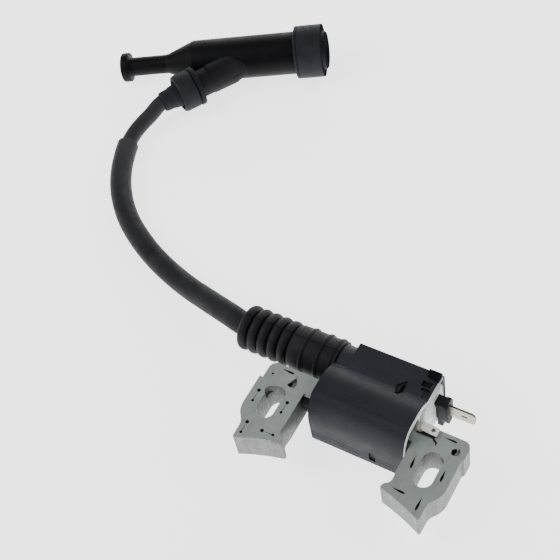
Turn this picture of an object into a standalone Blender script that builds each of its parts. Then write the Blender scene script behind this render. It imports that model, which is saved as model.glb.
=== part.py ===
"""Ignition coil of a small horizontal-shaft engine, with its high-tension lead and angled plug cap.

All pieces are modelled in the core frame: x runs along the core's back bar, y points away from the
flywheel, z runs through the lamination stack, and z = 0 is the stack's lower face, midway between
the two mounting slots. The empty "ignition_coil" lifts that frame so that the part lies on z = 0.
"""

import math

import bmesh
import bpy
from mathutils import Matrix, Vector

MM = 0.001
GAP = 0.3 * MM  # clearance kept between touching pieces

# Core: an L-shaped stack (back bar and right leg) and a separate left leg lapped into it
SLOT_SPACING = 62.0 * MM  # the two mounting slots, centre to centre
SLOT_LENGTH = 14.0 * MM
SLOT_WIDTH = 7.0 * MM
SLOT_Y = 0.2 * MM
STACK = 11.6 * MM
LAMINATION = 0.5 * MM
LEG_INNER_X = 21.5 * MM
LEG_OUTER_X = 39.9 * MM
FOOT_OUTER_X = 36.1 * MM
FOOT_INNER_X = 19.3 * MM
FOOT_INNER_Y = -12.6 * MM
FLYWHEEL_RADIUS = 89.0 * MM
BAR_FRONT_Y = 8.6 * MM
BAR_REAR_Y = 15.7 * MM
BAR_THROAT_Y = 7.8 * MM
BAR_LEFT_X = -39.0 * MM
BAR_RIGHT_X = 40.6 * MM

# Case: a tall main chamber round the bar, a lower module chamber behind it, and the lead's tower
FLOOR_Z = -7.6 * MM
CASE_LEFT_X = -17.4 * MM
CASE_OPEN_X = 20.2 * MM
RESIN_FACE_X = 22.0 * MM  # crown of the resin in the open end, behind the bar
CASE_FRONT_Y = 2.4 * MM
CASE_TOP_Z = 17.4 * MM
CASE_WALL = 1.2 * MM
MODULE_LEFT_X = -12.4 * MM
MODULE_REAR_Y = 35.6 * MM
MODULE_TOP_Z = 13.9 * MM
AXIS_Z = STACK / 2  # height of the windings, the tower and the stop terminal
TOWER_Y = 28.8 * MM
TOWER_RADIUS = 5.6 * MM
TOWER_END_X = -27.0 * MM
COLLAR_RADIUS = 7.6 * MM

# Boot, lead and sleeve
BOOT_START_X = CASE_LEFT_X - GAP
BOOT_END_X = -58.9 * MM
RIB_RADIUS = 8.8 * MM
LEAD_RADIUS = 3.5 * MM
SLEEVE_RADIUS = 4.7 * MM
CONDUCTOR_RADIUS = 0.8 * MM
LEAD_BORE_RADIUS = 1.1 * MM
LEAD_START_X = -18.0 * MM
SLEEVE_START_X = -28.0 * MM
LEAD_SAMPLES = 44
LEAD_SIDES = 3  # bevel resolution of the lead's tubes

# Plug cap, along its own axis from the pull handle's end to the plug's end
HANDLE_RADIUS = 6.7 * MM
HANDLE_FLANGE = 3.8 * MM
GRIP_RADIUS = 4.3 * MM
GRIP_END = 21.6 * MM
CAP_TUBE_START = 34.6 * MM
CAP_RADIUS = 9.6 * MM
CAP_END = 92.5 * MM
SEAL_START = 82.4 * MM
SEAL_END = 94.8 * MM
SEAL_RADIUS = 11.9 * MM
SEAL_LIP_END = 96.6 * MM
SEAL_LIP_RADIUS = 8.6 * MM
SOCKET_RADIUS = 7.0 * MM
SOCKET_BOTTOM = 46.5 * MM
PLUG_HOLE_RADIUS = 5.4 * MM
# Branch of the cap, along its own axis; 0 is the middle of its end flange
BRANCH_ANGLE = math.radians(31.8)
BRANCH_X = 37.0 * MM
BRANCH_Y = -16.6 * MM
BRANCH_RADIUS = 6.3 * MM
BRANCH_FLANGE_RADIUS = 9.1 * MM
BRANCH_FLANGE = 2.6 * MM
GROMMET_RADIUS = 8.8 * MM
GROMMET_END = -9.4 * MM
NIPPLE_END = -17.4 * MM
LEAD_STOP = 6.0 * MM
# Where the cap lies
CAP_AZIMUTH = math.radians(25.7)
CAP_ROLL = math.radians(-1.3)
CAP_HANDLE_X = -189.3 * MM
CAP_HANDLE_Y = 133.9 * MM

# The lead's route between the boot and the cap, in the core frame
ROUTE = [
    (-46.0, 28.8, 5.8),
    (-60.0, 28.9, 5.8),
    (-67.0, 30.6, 5.2),
    (-75.0, 32.9, 3.4),
    (-83.3, 35.6, 1.0),
    (-91.7, 38.2, -1.1),
    (-100.3, 41.1, -2.5),
    (-109.7, 44.4, -2.8),
    (-119.2, 48.5, -2.85),
    (-128.7, 53.7, -2.85),
    (-136.1, 58.6, -2.85),
    (-143.1, 64.6, -2.85),
    (-149.4, 71.5, -2.85),
    (-154.7, 79.2, -2.85),
    (-158.9, 87.6, -2.85),
    (-162.0, 96.0, -2.8),
    (-162.8, 102.0, -2.4),
    (-162.0, 107.6, -1.3),
    (-160.2, 112.8, 0.2),
]
SLEEVE_END_AT = 0.775  # share of the lead's length

SEGMENTS = 32
SMALL_SEGMENTS = 20
CUTTER_REACH = 5.0 * MM

# Parked so that the object's own box (without the lead and cap) is centred on the origin
ORIGIN_X = (BOOT_END_X + BAR_RIGHT_X) / 2
FOOT_TIP_Y = -18.13 * MM
ORIGIN_Y = (FOOT_TIP_Y + TOWER_Y + RIB_RADIUS) / 2


# ---------------------------------------------------------------- scene helpers


def clear_scene():
    for obj in list(bpy.data.objects):
        bpy.data.objects.remove(obj, do_unlink=True)


def new_collection(name):
    collection = bpy.data.collections.new(name)
    bpy.context.scene.collection.children.link(collection)
    return collection


def material(name, colour, roughness, metallic=0.0):
    found = bpy.data.materials.get(name)
    if found:
        return found
    made = bpy.data.materials.new(name)
    made.use_nodes = True
    shader = made.node_tree.nodes["Principled BSDF"]
    shader.inputs["Base Color"].default_value = (*colour, 1.0)
    shader.inputs["Roughness"].default_value = roughness
    shader.inputs["Metallic"].default_value = metallic
    made.diffuse_color = (*colour, 1.0)
    return made


def silicon_steel():
    return material("laminated_steel", (0.27, 0.30, 0.29), 0.45, 0.85)


def case_plastic():
    return material("case_plastic", (0.022, 0.024, 0.030), 0.38)


def black_plastic():
    return material("cap_plastic", (0.008, 0.008, 0.010), 0.25)


def rubber():
    return material("rubber", (0.020, 0.021, 0.024), 0.55)


def slate_rubber():
    return material("slate_rubber", (0.040, 0.045, 0.055), 0.6)


def lead_jacket():
    return material("lead_jacket", (0.030, 0.031, 0.033), 0.65)


def resin():
    return material("potting_resin", (0.66, 0.70, 0.68), 0.35)


def bobbin_nylon():
    return material("bobbin_nylon", (0.62, 0.60, 0.52), 0.5)


def copper():
    return material("enamelled_copper", (0.55, 0.20, 0.08), 0.35, 0.9)


def brass():
    return material("brass", (0.70, 0.50, 0.20), 0.3, 1.0)


def tin_plate():
    return material("tinned_steel", (0.72, 0.69, 0.62), 0.3, 1.0)


def ceramic():
    return material("ceramic", (0.75, 0.72, 0.66), 0.4)


def board_laminate():
    return material("board_laminate", (0.03, 0.16, 0.07), 0.5)


def component_epoxy():
    return material("component_epoxy", (0.03, 0.03, 0.03), 0.5)


def give(obj, surface):
    obj.data.materials.clear()
    obj.data.materials.append(surface)


def link(obj, parent, collection=None):
    (collection or PARTS).objects.link(obj)
    obj.parent = parent
    return obj


def hide(cutter):
    cutter.hide_render = True
    cutter.display_type = "WIRE"


def boolean(obj, cutter, operation="DIFFERENCE", solver="EXACT"):
    """Cut or join; the manifold solver is for thin walls with many flush faces."""
    step = obj.modifiers.new(operation.lower(), "BOOLEAN")
    step.operation = operation
    step.object = cutter
    step.solver = solver
    hide(cutter)


def bevel(obj, width, segments=2, angle=30.0):
    step = obj.modifiers.new("edge_round", "BEVEL")
    step.width = width
    step.segments = segments
    step.limit_method = "ANGLE"
    step.angle_limit = math.radians(angle)
    step.use_clamp_overlap = True


# ---------------------------------------------------------------- shape helpers


def arc(centre, radius, start, end, steps):
    """Points of an arc in degrees, both ends included."""
    turn = [math.radians(start + (end - start) * i / steps) for i in range(steps + 1)]
    return [(centre[0] + radius * math.cos(a), centre[1] + radius * math.sin(a)) for a in turn]


def stadium(centre, width, length, steps=8):
    """A slot's outline, long in y."""
    radius = width / 2
    reach = length / 2 - radius
    top = arc((centre[0], centre[1] + reach), radius, 0, 180, steps)
    bottom = arc((centre[0], centre[1] - reach), radius, 180, 360, steps)
    return top + bottom


def rectangle(low, high, radius=0.0, steps=3):
    """A rectangle's outline with rounded corners."""
    if not radius:
        return [low, (high[0], low[1]), high, (low[0], high[1])]
    corners = [
        ((high[0] - radius, low[1] + radius), 270),
        ((high[0] - radius, high[1] - radius), 0),
        ((low[0] + radius, high[1] - radius), 90),
        ((low[0] + radius, low[1] + radius), 180),
    ]
    return [p for centre, start in corners for p in arc(centre, radius, start, start + 90, steps)]


def circle(centre, radius, steps=SMALL_SEGMENTS):
    return arc(centre, radius, 0, 360 - 360 / steps, steps - 1)


def mesh_from_curve(curve_object, name):
    """The curve's solid as a mesh object with its caps welded on."""
    graph = bpy.context.evaluated_depsgraph_get()
    mesh = bpy.data.meshes.new_from_object(curve_object.evaluated_get(graph))
    work = bmesh.new()
    work.from_mesh(mesh)
    bmesh.ops.remove_doubles(work, verts=work.verts, dist=0.001 * MM)
    bmesh.ops.recalc_face_normals(work, faces=work.faces)
    work.to_mesh(mesh)
    work.free()
    curve = curve_object.data
    bpy.data.objects.remove(curve_object, do_unlink=True)
    bpy.data.curves.remove(curve)
    return bpy.data.objects.new(name, mesh)


def plate(name, outlines, low, high, surface, parent, along="z", collection=None):
    """A flat outline (and any holes in it) given thickness from low to high along z or x.

    Along x, an outline's first coordinate is y and its second is z.
    """
    curve = bpy.data.curves.new(name, "CURVE")
    curve.dimensions = "2D"
    curve.fill_mode = "BOTH"
    curve.extrude = (high - low) / 2
    for outline in outlines:
        spline = curve.splines.new("POLY")
        spline.points.add(len(outline) - 1)
        for point, (u, v) in zip(spline.points, outline):
            point.co = (u, v, 0, 1)
        spline.use_cyclic_u = True
    flat = bpy.data.objects.new(name, curve)
    bpy.context.scene.collection.objects.link(flat)
    bpy.context.view_layer.update()
    made = mesh_from_curve(flat, name)
    if along == "x":
        made.data.transform(Matrix.Rotation(math.pi / 2, 4, "Z") @ Matrix.Rotation(math.pi / 2, 4, "X"))
        made.location = ((low + high) / 2, 0, 0)
    else:
        made.location = (0, 0, (low + high) / 2)
    give(made, surface)
    return link(made, parent, collection)


def block(name, low, high, surface, parent, collection=None):
    """A box between two corners."""
    mesh = bpy.data.meshes.new(name)
    work = bmesh.new()
    bmesh.ops.create_cube(work, size=1.0)
    size = [b - a for a, b in zip(low, high)]
    bmesh.ops.scale(work, vec=size, verts=work.verts)
    work.to_mesh(mesh)
    work.free()
    made = bpy.data.objects.new(name, mesh)
    made.location = [(a + b) / 2 for a, b in zip(low, high)]
    give(made, surface)
    return link(made, parent, collection)


def turned(name, profile, surface, parent, axis="x", at=(0, 0, 0), segments=SEGMENTS, collection=None):
    """A profile of (radius, distance along the axis) turned round the axis.

    The profile's outer side is listed from the far end back to the near one. A profile that
    starts or ends off the axis is closed into a ring.
    """
    mesh = bpy.data.meshes.new(name)
    work = bmesh.new()
    verts = [work.verts.new((radius, 0, along)) for radius, along in profile]
    for first, second in zip(verts, verts[1:]):
        work.edges.new((first, second))
    if profile[0][0] > 0 or profile[-1][0] > 0:
        work.edges.new((verts[-1], verts[0]))
    work.to_mesh(mesh)
    work.free()
    made = bpy.data.objects.new(name, mesh)
    screw = made.modifiers.new("turn", "SCREW")
    screw.axis = "Z"
    screw.steps = segments
    screw.render_steps = segments
    screw.use_merge_vertices = True
    screw.merge_threshold = 0.001 * MM
    screw.use_smooth_shade = True
    if axis == "x":
        made.rotation_euler = (0, math.pi / 2, 0)
    made.location = at
    give(made, surface)
    return link(made, parent, collection)


def rod(name, radius, start, end, surface, parent, at, segments=SMALL_SEGMENTS, collection=None):
    """A plain round bar along x; start is its lower end."""
    profile = [(0, end), (radius, end), (radius, start), (0, start)]
    return turned(name, profile, surface, parent, "x", at, segments, collection)


def tube_along(name, points, radius, bore, surface, parent):
    """A cord's tube; with a bore it is hollow and open at both ends."""
    curve = bpy.data.curves.new(name, "CURVE")
    curve.dimensions = "3D"
    curve.bevel_depth = radius
    curve.bevel_resolution = LEAD_SIDES
    curve.use_fill_caps = not bore
    spline = curve.splines.new("POLY")
    spline.points.add(len(points) - 1)
    for point, place in zip(spline.points, points):
        point.co = (*place, 1)
    made = bpy.data.objects.new(name, curve)
    if bore:
        hollow = made.modifiers.new("bore", "SOLIDIFY")
        hollow.thickness = radius - bore
        hollow.offset = -1
    give(made, surface)
    return link(made, parent)


# ---------------------------------------------------------------- core


def leg_outline(side, top):
    """One leg seen from above, from its shoulder round the foot; side is -1 or 1."""
    outer = [
        (LEG_OUTER_X, top),
        (LEG_OUTER_X, -4.4 * MM),
        (39.6 * MM, -6.2 * MM),
        (38.7 * MM, -8.2 * MM),
        (37.3 * MM, -9.8 * MM),
        (36.5 * MM, -10.9 * MM),
    ]
    foot = []
    centre_y = FOOT_INNER_Y - math.sqrt(FLYWHEEL_RADIUS**2 - FOOT_INNER_X**2)
    for i in range(9):
        x = FOOT_OUTER_X + (FOOT_INNER_X - FOOT_OUTER_X) * i / 8
        foot.append((x, centre_y + math.sqrt(FLYWHEEL_RADIUS**2 - x**2)))
    inner = [
        (19.5 * MM, -11.0 * MM),
        (20.2 * MM, -9.9 * MM),
        (21.1 * MM, -8.9 * MM),
        (LEG_INNER_X, -7.6 * MM),
        (LEG_INNER_X, top),
    ]
    return [(side * x, y) for x, y in outer + foot + inner]


def make_core(parent):
    slot_x = SLOT_SPACING / 2
    bar_corner = 2.8 * MM
    left_corner = 3.0 * MM
    right = leg_outline(1, BAR_THROAT_Y)[1:]
    outline = (
        right
        + [(BAR_LEFT_X + 1.0 * MM, BAR_FRONT_Y - 0.8 * MM), (BAR_LEFT_X, BAR_FRONT_Y)]
        + arc((BAR_LEFT_X + left_corner, BAR_REAR_Y - left_corner), left_corner, 180, 90, 4)
        + arc((BAR_RIGHT_X - bar_corner, BAR_REAR_Y - bar_corner), bar_corner, 90, 0, 4)
        + [(BAR_RIGHT_X, BAR_FRONT_Y), (LEG_OUTER_X, BAR_FRONT_Y - 0.4 * MM)]
    )
    slot = stadium((slot_x, SLOT_Y), SLOT_WIDTH, SLOT_LENGTH)
    bar = plate("core_bar_and_right_leg", [outline, slot], 0, STACK, silicon_steel(), parent)

    # The left leg is butted against the bar. A middle tongue of it sits in a pocket in the bar's
    # end, and its topmost lamination laps over the bar.
    tongue_left, tongue_right = -35.5 * MM, -26.0 * MM
    tongue_end = 13.2 * MM
    pocket_low, pocket_high = 3.6 * MM, 8.0 * MM
    pocket = block(
        "cut_lap_pocket",
        (tongue_left - GAP, 0, pocket_low),
        (tongue_right + GAP, tongue_end + GAP, pocket_high),
        silicon_steel(),
        parent,
        CUTTERS,
    )
    boolean(bar, pocket)

    leg_top = BAR_THROAT_Y - GAP
    leg = plate(
        "core_left_leg",
        [leg_outline(-1, leg_top), stadium((-slot_x, SLOT_Y), SLOT_WIDTH, SLOT_LENGTH)],
        0,
        STACK + LAMINATION + GAP,
        silicon_steel(),
        parent,
    )
    tongue = block(
        "join_lap_tongue",
        (tongue_left, leg_top - 1.0 * MM, pocket_low + GAP),
        (tongue_right, tongue_end, pocket_high - GAP),
        silicon_steel(),
        parent,
        CUTTERS,
    )
    overlap = rectangle((-37.0 * MM, 6.0 * MM), (-28.1 * MM, 13.1 * MM), 0.8 * MM, 2)
    strip = plate(
        "join_top_lamination",
        [overlap],
        STACK + GAP,
        STACK + GAP + LAMINATION,
        silicon_steel(),
        parent,
        collection=CUTTERS,
    )
    boolean(leg, tongue, "UNION")
    boolean(leg, strip, "UNION")


# ---------------------------------------------------------------- case


def front_and_top(inset):
    """The main chamber's section in y and z, from its front foot over the top to its rear slope."""
    front = CASE_FRONT_Y + inset
    top = CASE_TOP_Z - inset
    low = FLOOR_Z + inset
    round_ = 7.2 * MM - inset
    foot = 1.0 * MM
    return (
        arc((front + foot, low + foot), foot, 270, 180, 2)
        + arc((front + round_, top - round_), round_, 180, 90, 8)
        + [(16.0 * MM, top - 0.1 * MM), (19.0 * MM, top - 1.0 * MM), (21.8 * MM, top - 2.6 * MM)]
    )


def main_section(inset=0.0):
    """The main chamber alone, as it shows at the closed end."""
    rear = 24.4 * MM - inset
    return front_and_top(inset) + [(rear, CASE_TOP_Z - 4.6 * MM - inset), (rear, FLOOR_Z + inset)]


def full_section(inset=0.0):
    """The main chamber and the module chamber behind it."""
    rear = MODULE_REAR_Y - inset
    low = FLOOR_Z + inset
    top = MODULE_TOP_Z - inset
    corner = 1.0 * MM
    return (
        front_and_top(inset)
        + [(23.1 * MM, top)]
        + arc((rear - corner, top - corner), corner, 90, 0, 2)
        + arc((rear - corner, low + corner), corner, 0, -90, 2)
    )


def bar_window(clearance):
    low = (BAR_THROAT_Y - clearance, -clearance)
    high = (BAR_REAR_Y + clearance, STACK + clearance)
    return low, high


def make_case(parent):
    plastic = case_plastic()
    hair = 0.1 * MM
    case = plate("coil_case", [full_section()], MODULE_LEFT_X, CASE_OPEN_X, plastic, parent, "x")
    closed_end = plate(
        "join_closed_end", [main_section()], CASE_LEFT_X, MODULE_LEFT_X + 2 * MM, plastic, parent, "x", CUTTERS
    )
    tower_axis = (0, TOWER_Y, AXIS_Z)
    collar = rod(
        "join_collar",
        COLLAR_RADIUS,
        CASE_LEFT_X + hair,
        MODULE_LEFT_X + CASE_WALL - hair,
        plastic,
        parent,
        tower_axis,
        SEGMENTS,
        CUTTERS,
    )
    stub = rod(
        "join_tower", TOWER_RADIUS, TOWER_END_X, CASE_LEFT_X + 1 * MM, plastic, parent, tower_axis, 24, CUTTERS
    )
    tab = block(
        "join_snap_tab",
        (15.5 * MM, 32.0 * MM, MODULE_TOP_Z - 1 * MM),
        (CASE_OPEN_X - 8 * hair, MODULE_REAR_Y - 0.4 * MM, MODULE_TOP_Z + 0.8 * MM),
        plastic,
        parent,
        CUTTERS,
    )
    for piece in (closed_end, collar, stub, tab):
        boolean(case, piece, "UNION", "MANIFOLD")

    inner_main = plate(
        "cut_closed_end",
        [main_section(CASE_WALL)],
        CASE_LEFT_X + CASE_WALL,
        MODULE_LEFT_X + 3 * CASE_WALL,
        plastic,
        parent,
        "x",
        CUTTERS,
    )
    inner_full = plate(
        "cut_chambers",
        [full_section(CASE_WALL)],
        MODULE_LEFT_X + CASE_WALL,
        CASE_OPEN_X + CUTTER_REACH,
        plastic,
        parent,
        "x",
        CUTTERS,
    )
    window = plate(
        "cut_bar_window",
        [rectangle(*bar_window(GAP))],
        CASE_LEFT_X - CUTTER_REACH,
        0,
        plastic,
        parent,
        "x",
        CUTTERS,
    )
    bore = rod(
        "cut_tower_bore",
        LEAD_RADIUS + GAP,
        TOWER_END_X - CUTTER_REACH,
        MODULE_LEFT_X + 2 * CASE_WALL,
        plastic,
        parent,
        tower_axis,
        SMALL_SEGMENTS,
        CUTTERS,
    )
    catch = block(
        "cut_catch_window",
        (16.2 * MM, 27.4 * MM, MODULE_TOP_Z - 2 * CASE_WALL),
        (18.4 * MM, 30.4 * MM, MODULE_TOP_Z + 1 * MM),
        plastic,
        parent,
        CUTTERS,
    )
    notch = block(
        "cut_front_notch",
        (6.6 * MM, CASE_FRONT_Y - 1 * MM, -4.8 * MM),
        (8.6 * MM, CASE_FRONT_Y + 0.6 * MM, 0.6 * MM),
        plastic,
        parent,
        CUTTERS,
    )
    for piece in (inner_main, inner_full, window, bore, catch, notch):
        boolean(case, piece, "DIFFERENCE", "MANIFOLD")


def make_potting(parent):
    """The hard resin that seals the case's open end."""
    low_x, high_x = 17.3 * MM, CASE_OPEN_X + 0.8 * MM
    inset = CASE_WALL + GAP
    seal = plate("potting_resin", [full_section(inset)], low_x, high_x, resin(), parent, "x")
    tunnel = plate(
        "cut_potting_tunnel",
        [rectangle(*bar_window(0.95 * MM))],
        low_x - CUTTER_REACH,
        high_x + CUTTER_REACH,
        resin(),
        parent,
        "x",
        CUTTERS,
    )
    boolean(seal, tunnel)
    crown = plate(
        "join_potting_crown",
        [rectangle((17.2 * MM, FLOOR_Z + 2.6 * MM), (MODULE_REAR_Y - 2.6 * MM, MODULE_TOP_Z - 2.4 * MM), 3 * MM)],
        high_x - 1 * MM,
        RESIN_FACE_X,
        resin(),
        parent,
        "x",
        CUTTERS,
    )
    boolean(seal, crown, "UNION")


# ---------------------------------------------------------------- windings and module


def ring_section(clearance, thickness):
    """A rectangular ring round the bar: its outer and inner outlines in y and z."""
    inner_low, inner_high = bar_window(clearance)
    outer_low, outer_high = bar_window(clearance + thickness)
    return [
        rectangle(outer_low, outer_high, clearance + thickness, 4),
        rectangle(inner_low, inner_high, clearance, 3),
    ]


def make_windings(parent):
    start, end = CASE_LEFT_X + CASE_WALL + GAP, 17.0 * MM
    flange = 0.8 * MM
    wall = 0.35 * MM
    tube = plate(
        "primary_bobbin", ring_section(GAP, wall), start, end, bobbin_nylon(), parent, "x"
    )
    primary_from = GAP + wall + GAP
    primary_turns = 0.7 * MM
    for place, x in (("left", start), ("right", end - flange)):
        disc = plate(
            f"join_primary_flange_{place}",
            ring_section(GAP + wall / 2, primary_turns + GAP),
            x,
            x + flange,
            bobbin_nylon(),
            parent,
            "x",
            CUTTERS,
        )
        boolean(tube, disc, "UNION", "MANIFOLD")
    plate(
        "primary_winding",
        ring_section(primary_from, primary_turns),
        start + flange + GAP,
        end - flange - GAP,
        copper(),
        parent,
        "x",
    )

    secondary_from = primary_from + primary_turns + GAP
    base = 0.35 * MM
    secondary_turns = 0.75 * MM
    former = plate(
        "secondary_bobbin", ring_section(secondary_from, base), start, end, bobbin_nylon(), parent, "x"
    )
    sections = 6
    pitch = (end - start - flange) / sections
    for i in range(sections + 1):
        x = start + i * pitch
        disc = plate(
            f"join_secondary_flange_{i}",
            ring_section(secondary_from + base / 2, secondary_turns + GAP),
            x,
            x + flange,
            bobbin_nylon(),
            parent,
            "x",
            CUTTERS,
        )
        boolean(former, disc, "UNION", "MANIFOLD")
    for i in range(sections):
        x = start + i * pitch + flange + GAP
        plate(
            f"secondary_winding_{i + 1}",
            ring_section(secondary_from + base + GAP, secondary_turns - GAP),
            x,
            x + pitch - flange - 2 * GAP,
            copper(),
            parent,
            "x",
        )


def make_module(parent):
    """The trigger electronics in the chamber behind the windings."""
    board_y = 24.6 * MM
    board = 1.2 * MM
    block(
        "circuit_board",
        (-7.0 * MM, board_y, -4.0 * MM),
        (14.0 * MM, board_y + board, 11.0 * MM),
        board_laminate(),
        parent,
    )
    face = board_y + board + GAP
    transistor = block(
        "darlington_transistor",
        (-4.5 * MM, face, -2.0 * MM),
        (4.5 * MM, face + 4.2 * MM, 7.5 * MM),
        component_epoxy(),
        parent,
    )
    bevel(transistor, 0.5 * MM, 1)
    diode = rod(
        "flyback_diode", 1.5 * MM, 6.5 * MM, 12.5 * MM, component_epoxy(), parent, (0, face + 1.5 * MM, 8.0 * MM), 16
    )
    resistor = rod(
        "base_resistor", 1.2 * MM, 6.5 * MM, 12.5 * MM, ceramic(), parent, (0, face + 1.2 * MM, 3.4 * MM), 16
    )
    capacitor = block(
        "filter_capacitor",
        (7.0 * MM, face, -3.2 * MM),
        (12.0 * MM, face + 3.0 * MM, 0.6 * MM),
        ceramic(),
        parent,
    )
    bevel(capacitor, 0.6 * MM, 2)
    for piece in (diode, resistor):
        piece.data.shade_smooth()


def make_terminals(parent):
    # High-tension pin: a head inside the case, and a point that reaches into the lead's bore
    head_x = MODULE_LEFT_X + 2 * CASE_WALL + GAP
    profile = [
        (0, head_x + 1.2 * MM),
        (2.6 * MM, head_x + 1.2 * MM),
        (2.6 * MM, head_x),
        (CONDUCTOR_RADIUS, head_x),
        (CONDUCTOR_RADIUS, -21.0 * MM),
        (0, -21.8 * MM),
    ]
    turned("high_tension_pin", profile, brass(), parent, "x", (0, TOWER_Y, AXIS_Z), 16)

    # Terminal block: a neck out of the resin, an end plate with ears, and the stop-switch blade
    neck_start = RESIN_FACE_X + GAP
    neck_end = 25.2 * MM
    plate_end = 26.8 * MM
    holder = block(
        "terminal_block",
        (neck_start, 25.6 * MM, 0.4 * MM),
        (neck_end + 0.5 * MM, 29.2 * MM, 9.6 * MM),
        case_plastic(),
        parent,
    )
    ears = [
        (25.1 * MM, 1.6 * MM),
        (26.2 * MM, -1.9 * MM),
        (28.8 * MM, -1.9 * MM),
        (29.8 * MM, 1.6 * MM),
        (29.8 * MM, 10.0 * MM),
        (28.8 * MM, 12.4 * MM),
        (26.4 * MM, 12.4 * MM),
        (25.1 * MM, 10.0 * MM),
    ]
    end_plate = plate("join_end_plate", [ears], neck_end, plate_end, case_plastic(), parent, "x", CUTTERS)
    foot = block(
        "join_block_foot",
        (neck_start, 26.2 * MM, -5.4 * MM),
        (neck_start + 2.0 * MM, 28.6 * MM, 1.0 * MM),
        case_plastic(),
        parent,
        CUTTERS,
    )
    blade_half = 0.4 * MM
    blade_y = 27.5 * MM
    blade_low, blade_high = AXIS_Z - 3.15 * MM, AXIS_Z + 3.15 * MM
    blade_root = 23.5 * MM
    slot = block(
        "cut_blade_slot",
        (blade_root - GAP, blade_y - blade_half - GAP, blade_low - GAP),
        (plate_end + CUTTER_REACH, blade_y + blade_half + GAP, blade_high + GAP),
        case_plastic(),
        parent,
        CUTTERS,
    )
    boolean(holder, end_plate, "UNION")
    boolean(holder, foot, "UNION")
    boolean(holder, slot)

    blade_end = 36.4 * MM
    nose = 1.6 * MM
    outline = [
        (blade_root, blade_low),
        (blade_end - nose, blade_low),
        (blade_end, blade_low + nose),
        (blade_end, blade_high - nose),
        (blade_end - nose, blade_high),
        (blade_root, blade_high),
    ]
    blade = plate("stop_terminal", [outline], -blade_half, blade_half, tin_plate(), parent)
    blade.data.transform(Matrix.Rotation(math.pi / 2, 4, "X"))
    blade.location = (0, blade_y, 0)

    # Ground strap: from the resin's edge out over the right leg, with its rivet hole
    strap = 0.6 * MM
    strap_z = STACK + 2 * GAP
    strap_outline = rectangle((CASE_OPEN_X + 1.3 * MM, 12.4 * MM), (28.4 * MM, 15.6 * MM), 0.4 * MM, 2)
    plate(
        "ground_strap",
        [strap_outline, circle((26.3 * MM, 14.1 * MM), 0.95 * MM, 16)],
        strap_z,
        strap_z + strap,
        tin_plate(),
        parent,
    )


# ---------------------------------------------------------------- boot and lead


def boot_profile():
    """The boot's outer side from the case to the free end, then its bore back."""
    body = 8.1 * MM
    ring = 8.7 * MM
    start = BOOT_START_X
    outer = [(body, start)]
    for centre in (-19.6, -24.6, -31.0):
        outer += [
            (body, (centre + 1.0) * MM),
            (ring, (centre + 0.5) * MM),
            (ring, (centre - 0.5) * MM),
            (body, (centre - 1.0) * MM),
        ]
    ribs = 5
    pitch = 4.3 * MM
    first = -39.4 * MM
    valley = 7.1 * MM
    outer.append((8.3 * MM, -36.8 * MM))
    for i in range(ribs):
        centre = first - i * pitch
        for turn in (0, 45, 90, 135, 180):
            reach = math.sin(math.radians(turn))
            outer.append(
                (valley + (RIB_RADIUS - valley) * reach, centre + pitch * 0.44 * math.cos(math.radians(turn)))
            )
    outer.append((6.2 * MM, BOOT_END_X))
    lead_bore = SLEEVE_RADIUS + GAP
    tower_bore = TOWER_RADIUS + GAP
    shoulder = TOWER_END_X - GAP
    inner = [(lead_bore, BOOT_END_X), (lead_bore, shoulder), (tower_bore, shoulder), (tower_bore, start)]
    return outer + inner


def catmull(points, samples_each=12):
    """A smooth centripetal curve through the points."""
    ends = [points[0] * 2 - points[1], *points, points[-1] * 2 - points[-2]]
    line = []
    for a, b, c, d in zip(ends, ends[1:], ends[2:], ends[3:]):
        knots = [0.0]
        for first, second in ((a, b), (b, c), (c, d)):
            knots.append(knots[-1] + math.sqrt((second - first).length))
        for i in range(samples_each):
            t = knots[1] + (knots[2] - knots[1]) * i / samples_each

            def mix(p, q, low, high):
                return p * ((high - t) / (high - low)) + q * ((t - low) / (high - low))

            ab, bc, cd = mix(a, b, knots[0], knots[1]), mix(b, c, knots[1], knots[2]), mix(c, d, knots[2], knots[3])
            abc, bcd = mix(ab, bc, knots[0], knots[2]), mix(bc, cd, knots[1], knots[3])
            line.append(mix(abc, bcd, knots[1], knots[2]))
    return line + [points[-1]]


def lengths_of(line):
    total = [0.0]
    for first, second in zip(line, line[1:]):
        total.append(total[-1] + (second - first).length)
    return total


def point_at(line, total, distance):
    for i in range(1, len(line)):
        if total[i] >= distance or i == len(line) - 1:
            share = (distance - total[i - 1]) / (total[i] - total[i - 1])
            return line[i - 1].lerp(line[i], share)
    return line[-1]


def cap_frame():
    """The plug cap's frame: x from its handle to the plug's end, y away from its branch.

    The cap lies on its seal and on the start of its tube.
    """
    tilt = math.atan2(SEAL_RADIUS - CAP_RADIUS, SEAL_START - CAP_TUBE_START)
    height = FLOOR_Z + CAP_RADIUS * math.cos(tilt) - CAP_TUBE_START * math.sin(tilt)
    place = Matrix.Translation((CAP_HANDLE_X, CAP_HANDLE_Y, height))
    turn = Matrix.Rotation(CAP_AZIMUTH, 4, "Z") @ Matrix.Rotation(-tilt, 4, "Y")
    return place @ turn @ Matrix.Rotation(CAP_ROLL, 4, "X")


def branch_frame():
    """The branch's frame inside the cap's: x runs from the lead's entry into the cap."""
    return Matrix.Translation((BRANCH_X, BRANCH_Y, 0)) @ Matrix.Rotation(BRANCH_ANGLE, 4, "Z")


def lead_line():
    """The lead's centre line from the case to its stop inside the cap."""
    entry = cap_frame() @ branch_frame()
    points = [Vector((LEAD_START_X, TOWER_Y, AXIS_Z)), Vector((-31.0 * MM, TOWER_Y, AXIS_Z))]
    points += [Vector(p) * MM for p in ROUTE]
    for along in (NIPPLE_END - 0.5 * MM, -8.0 * MM, LEAD_STOP):
        points.append(entry @ Vector((along, 0, 0)))
    return catmull(points)


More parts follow.
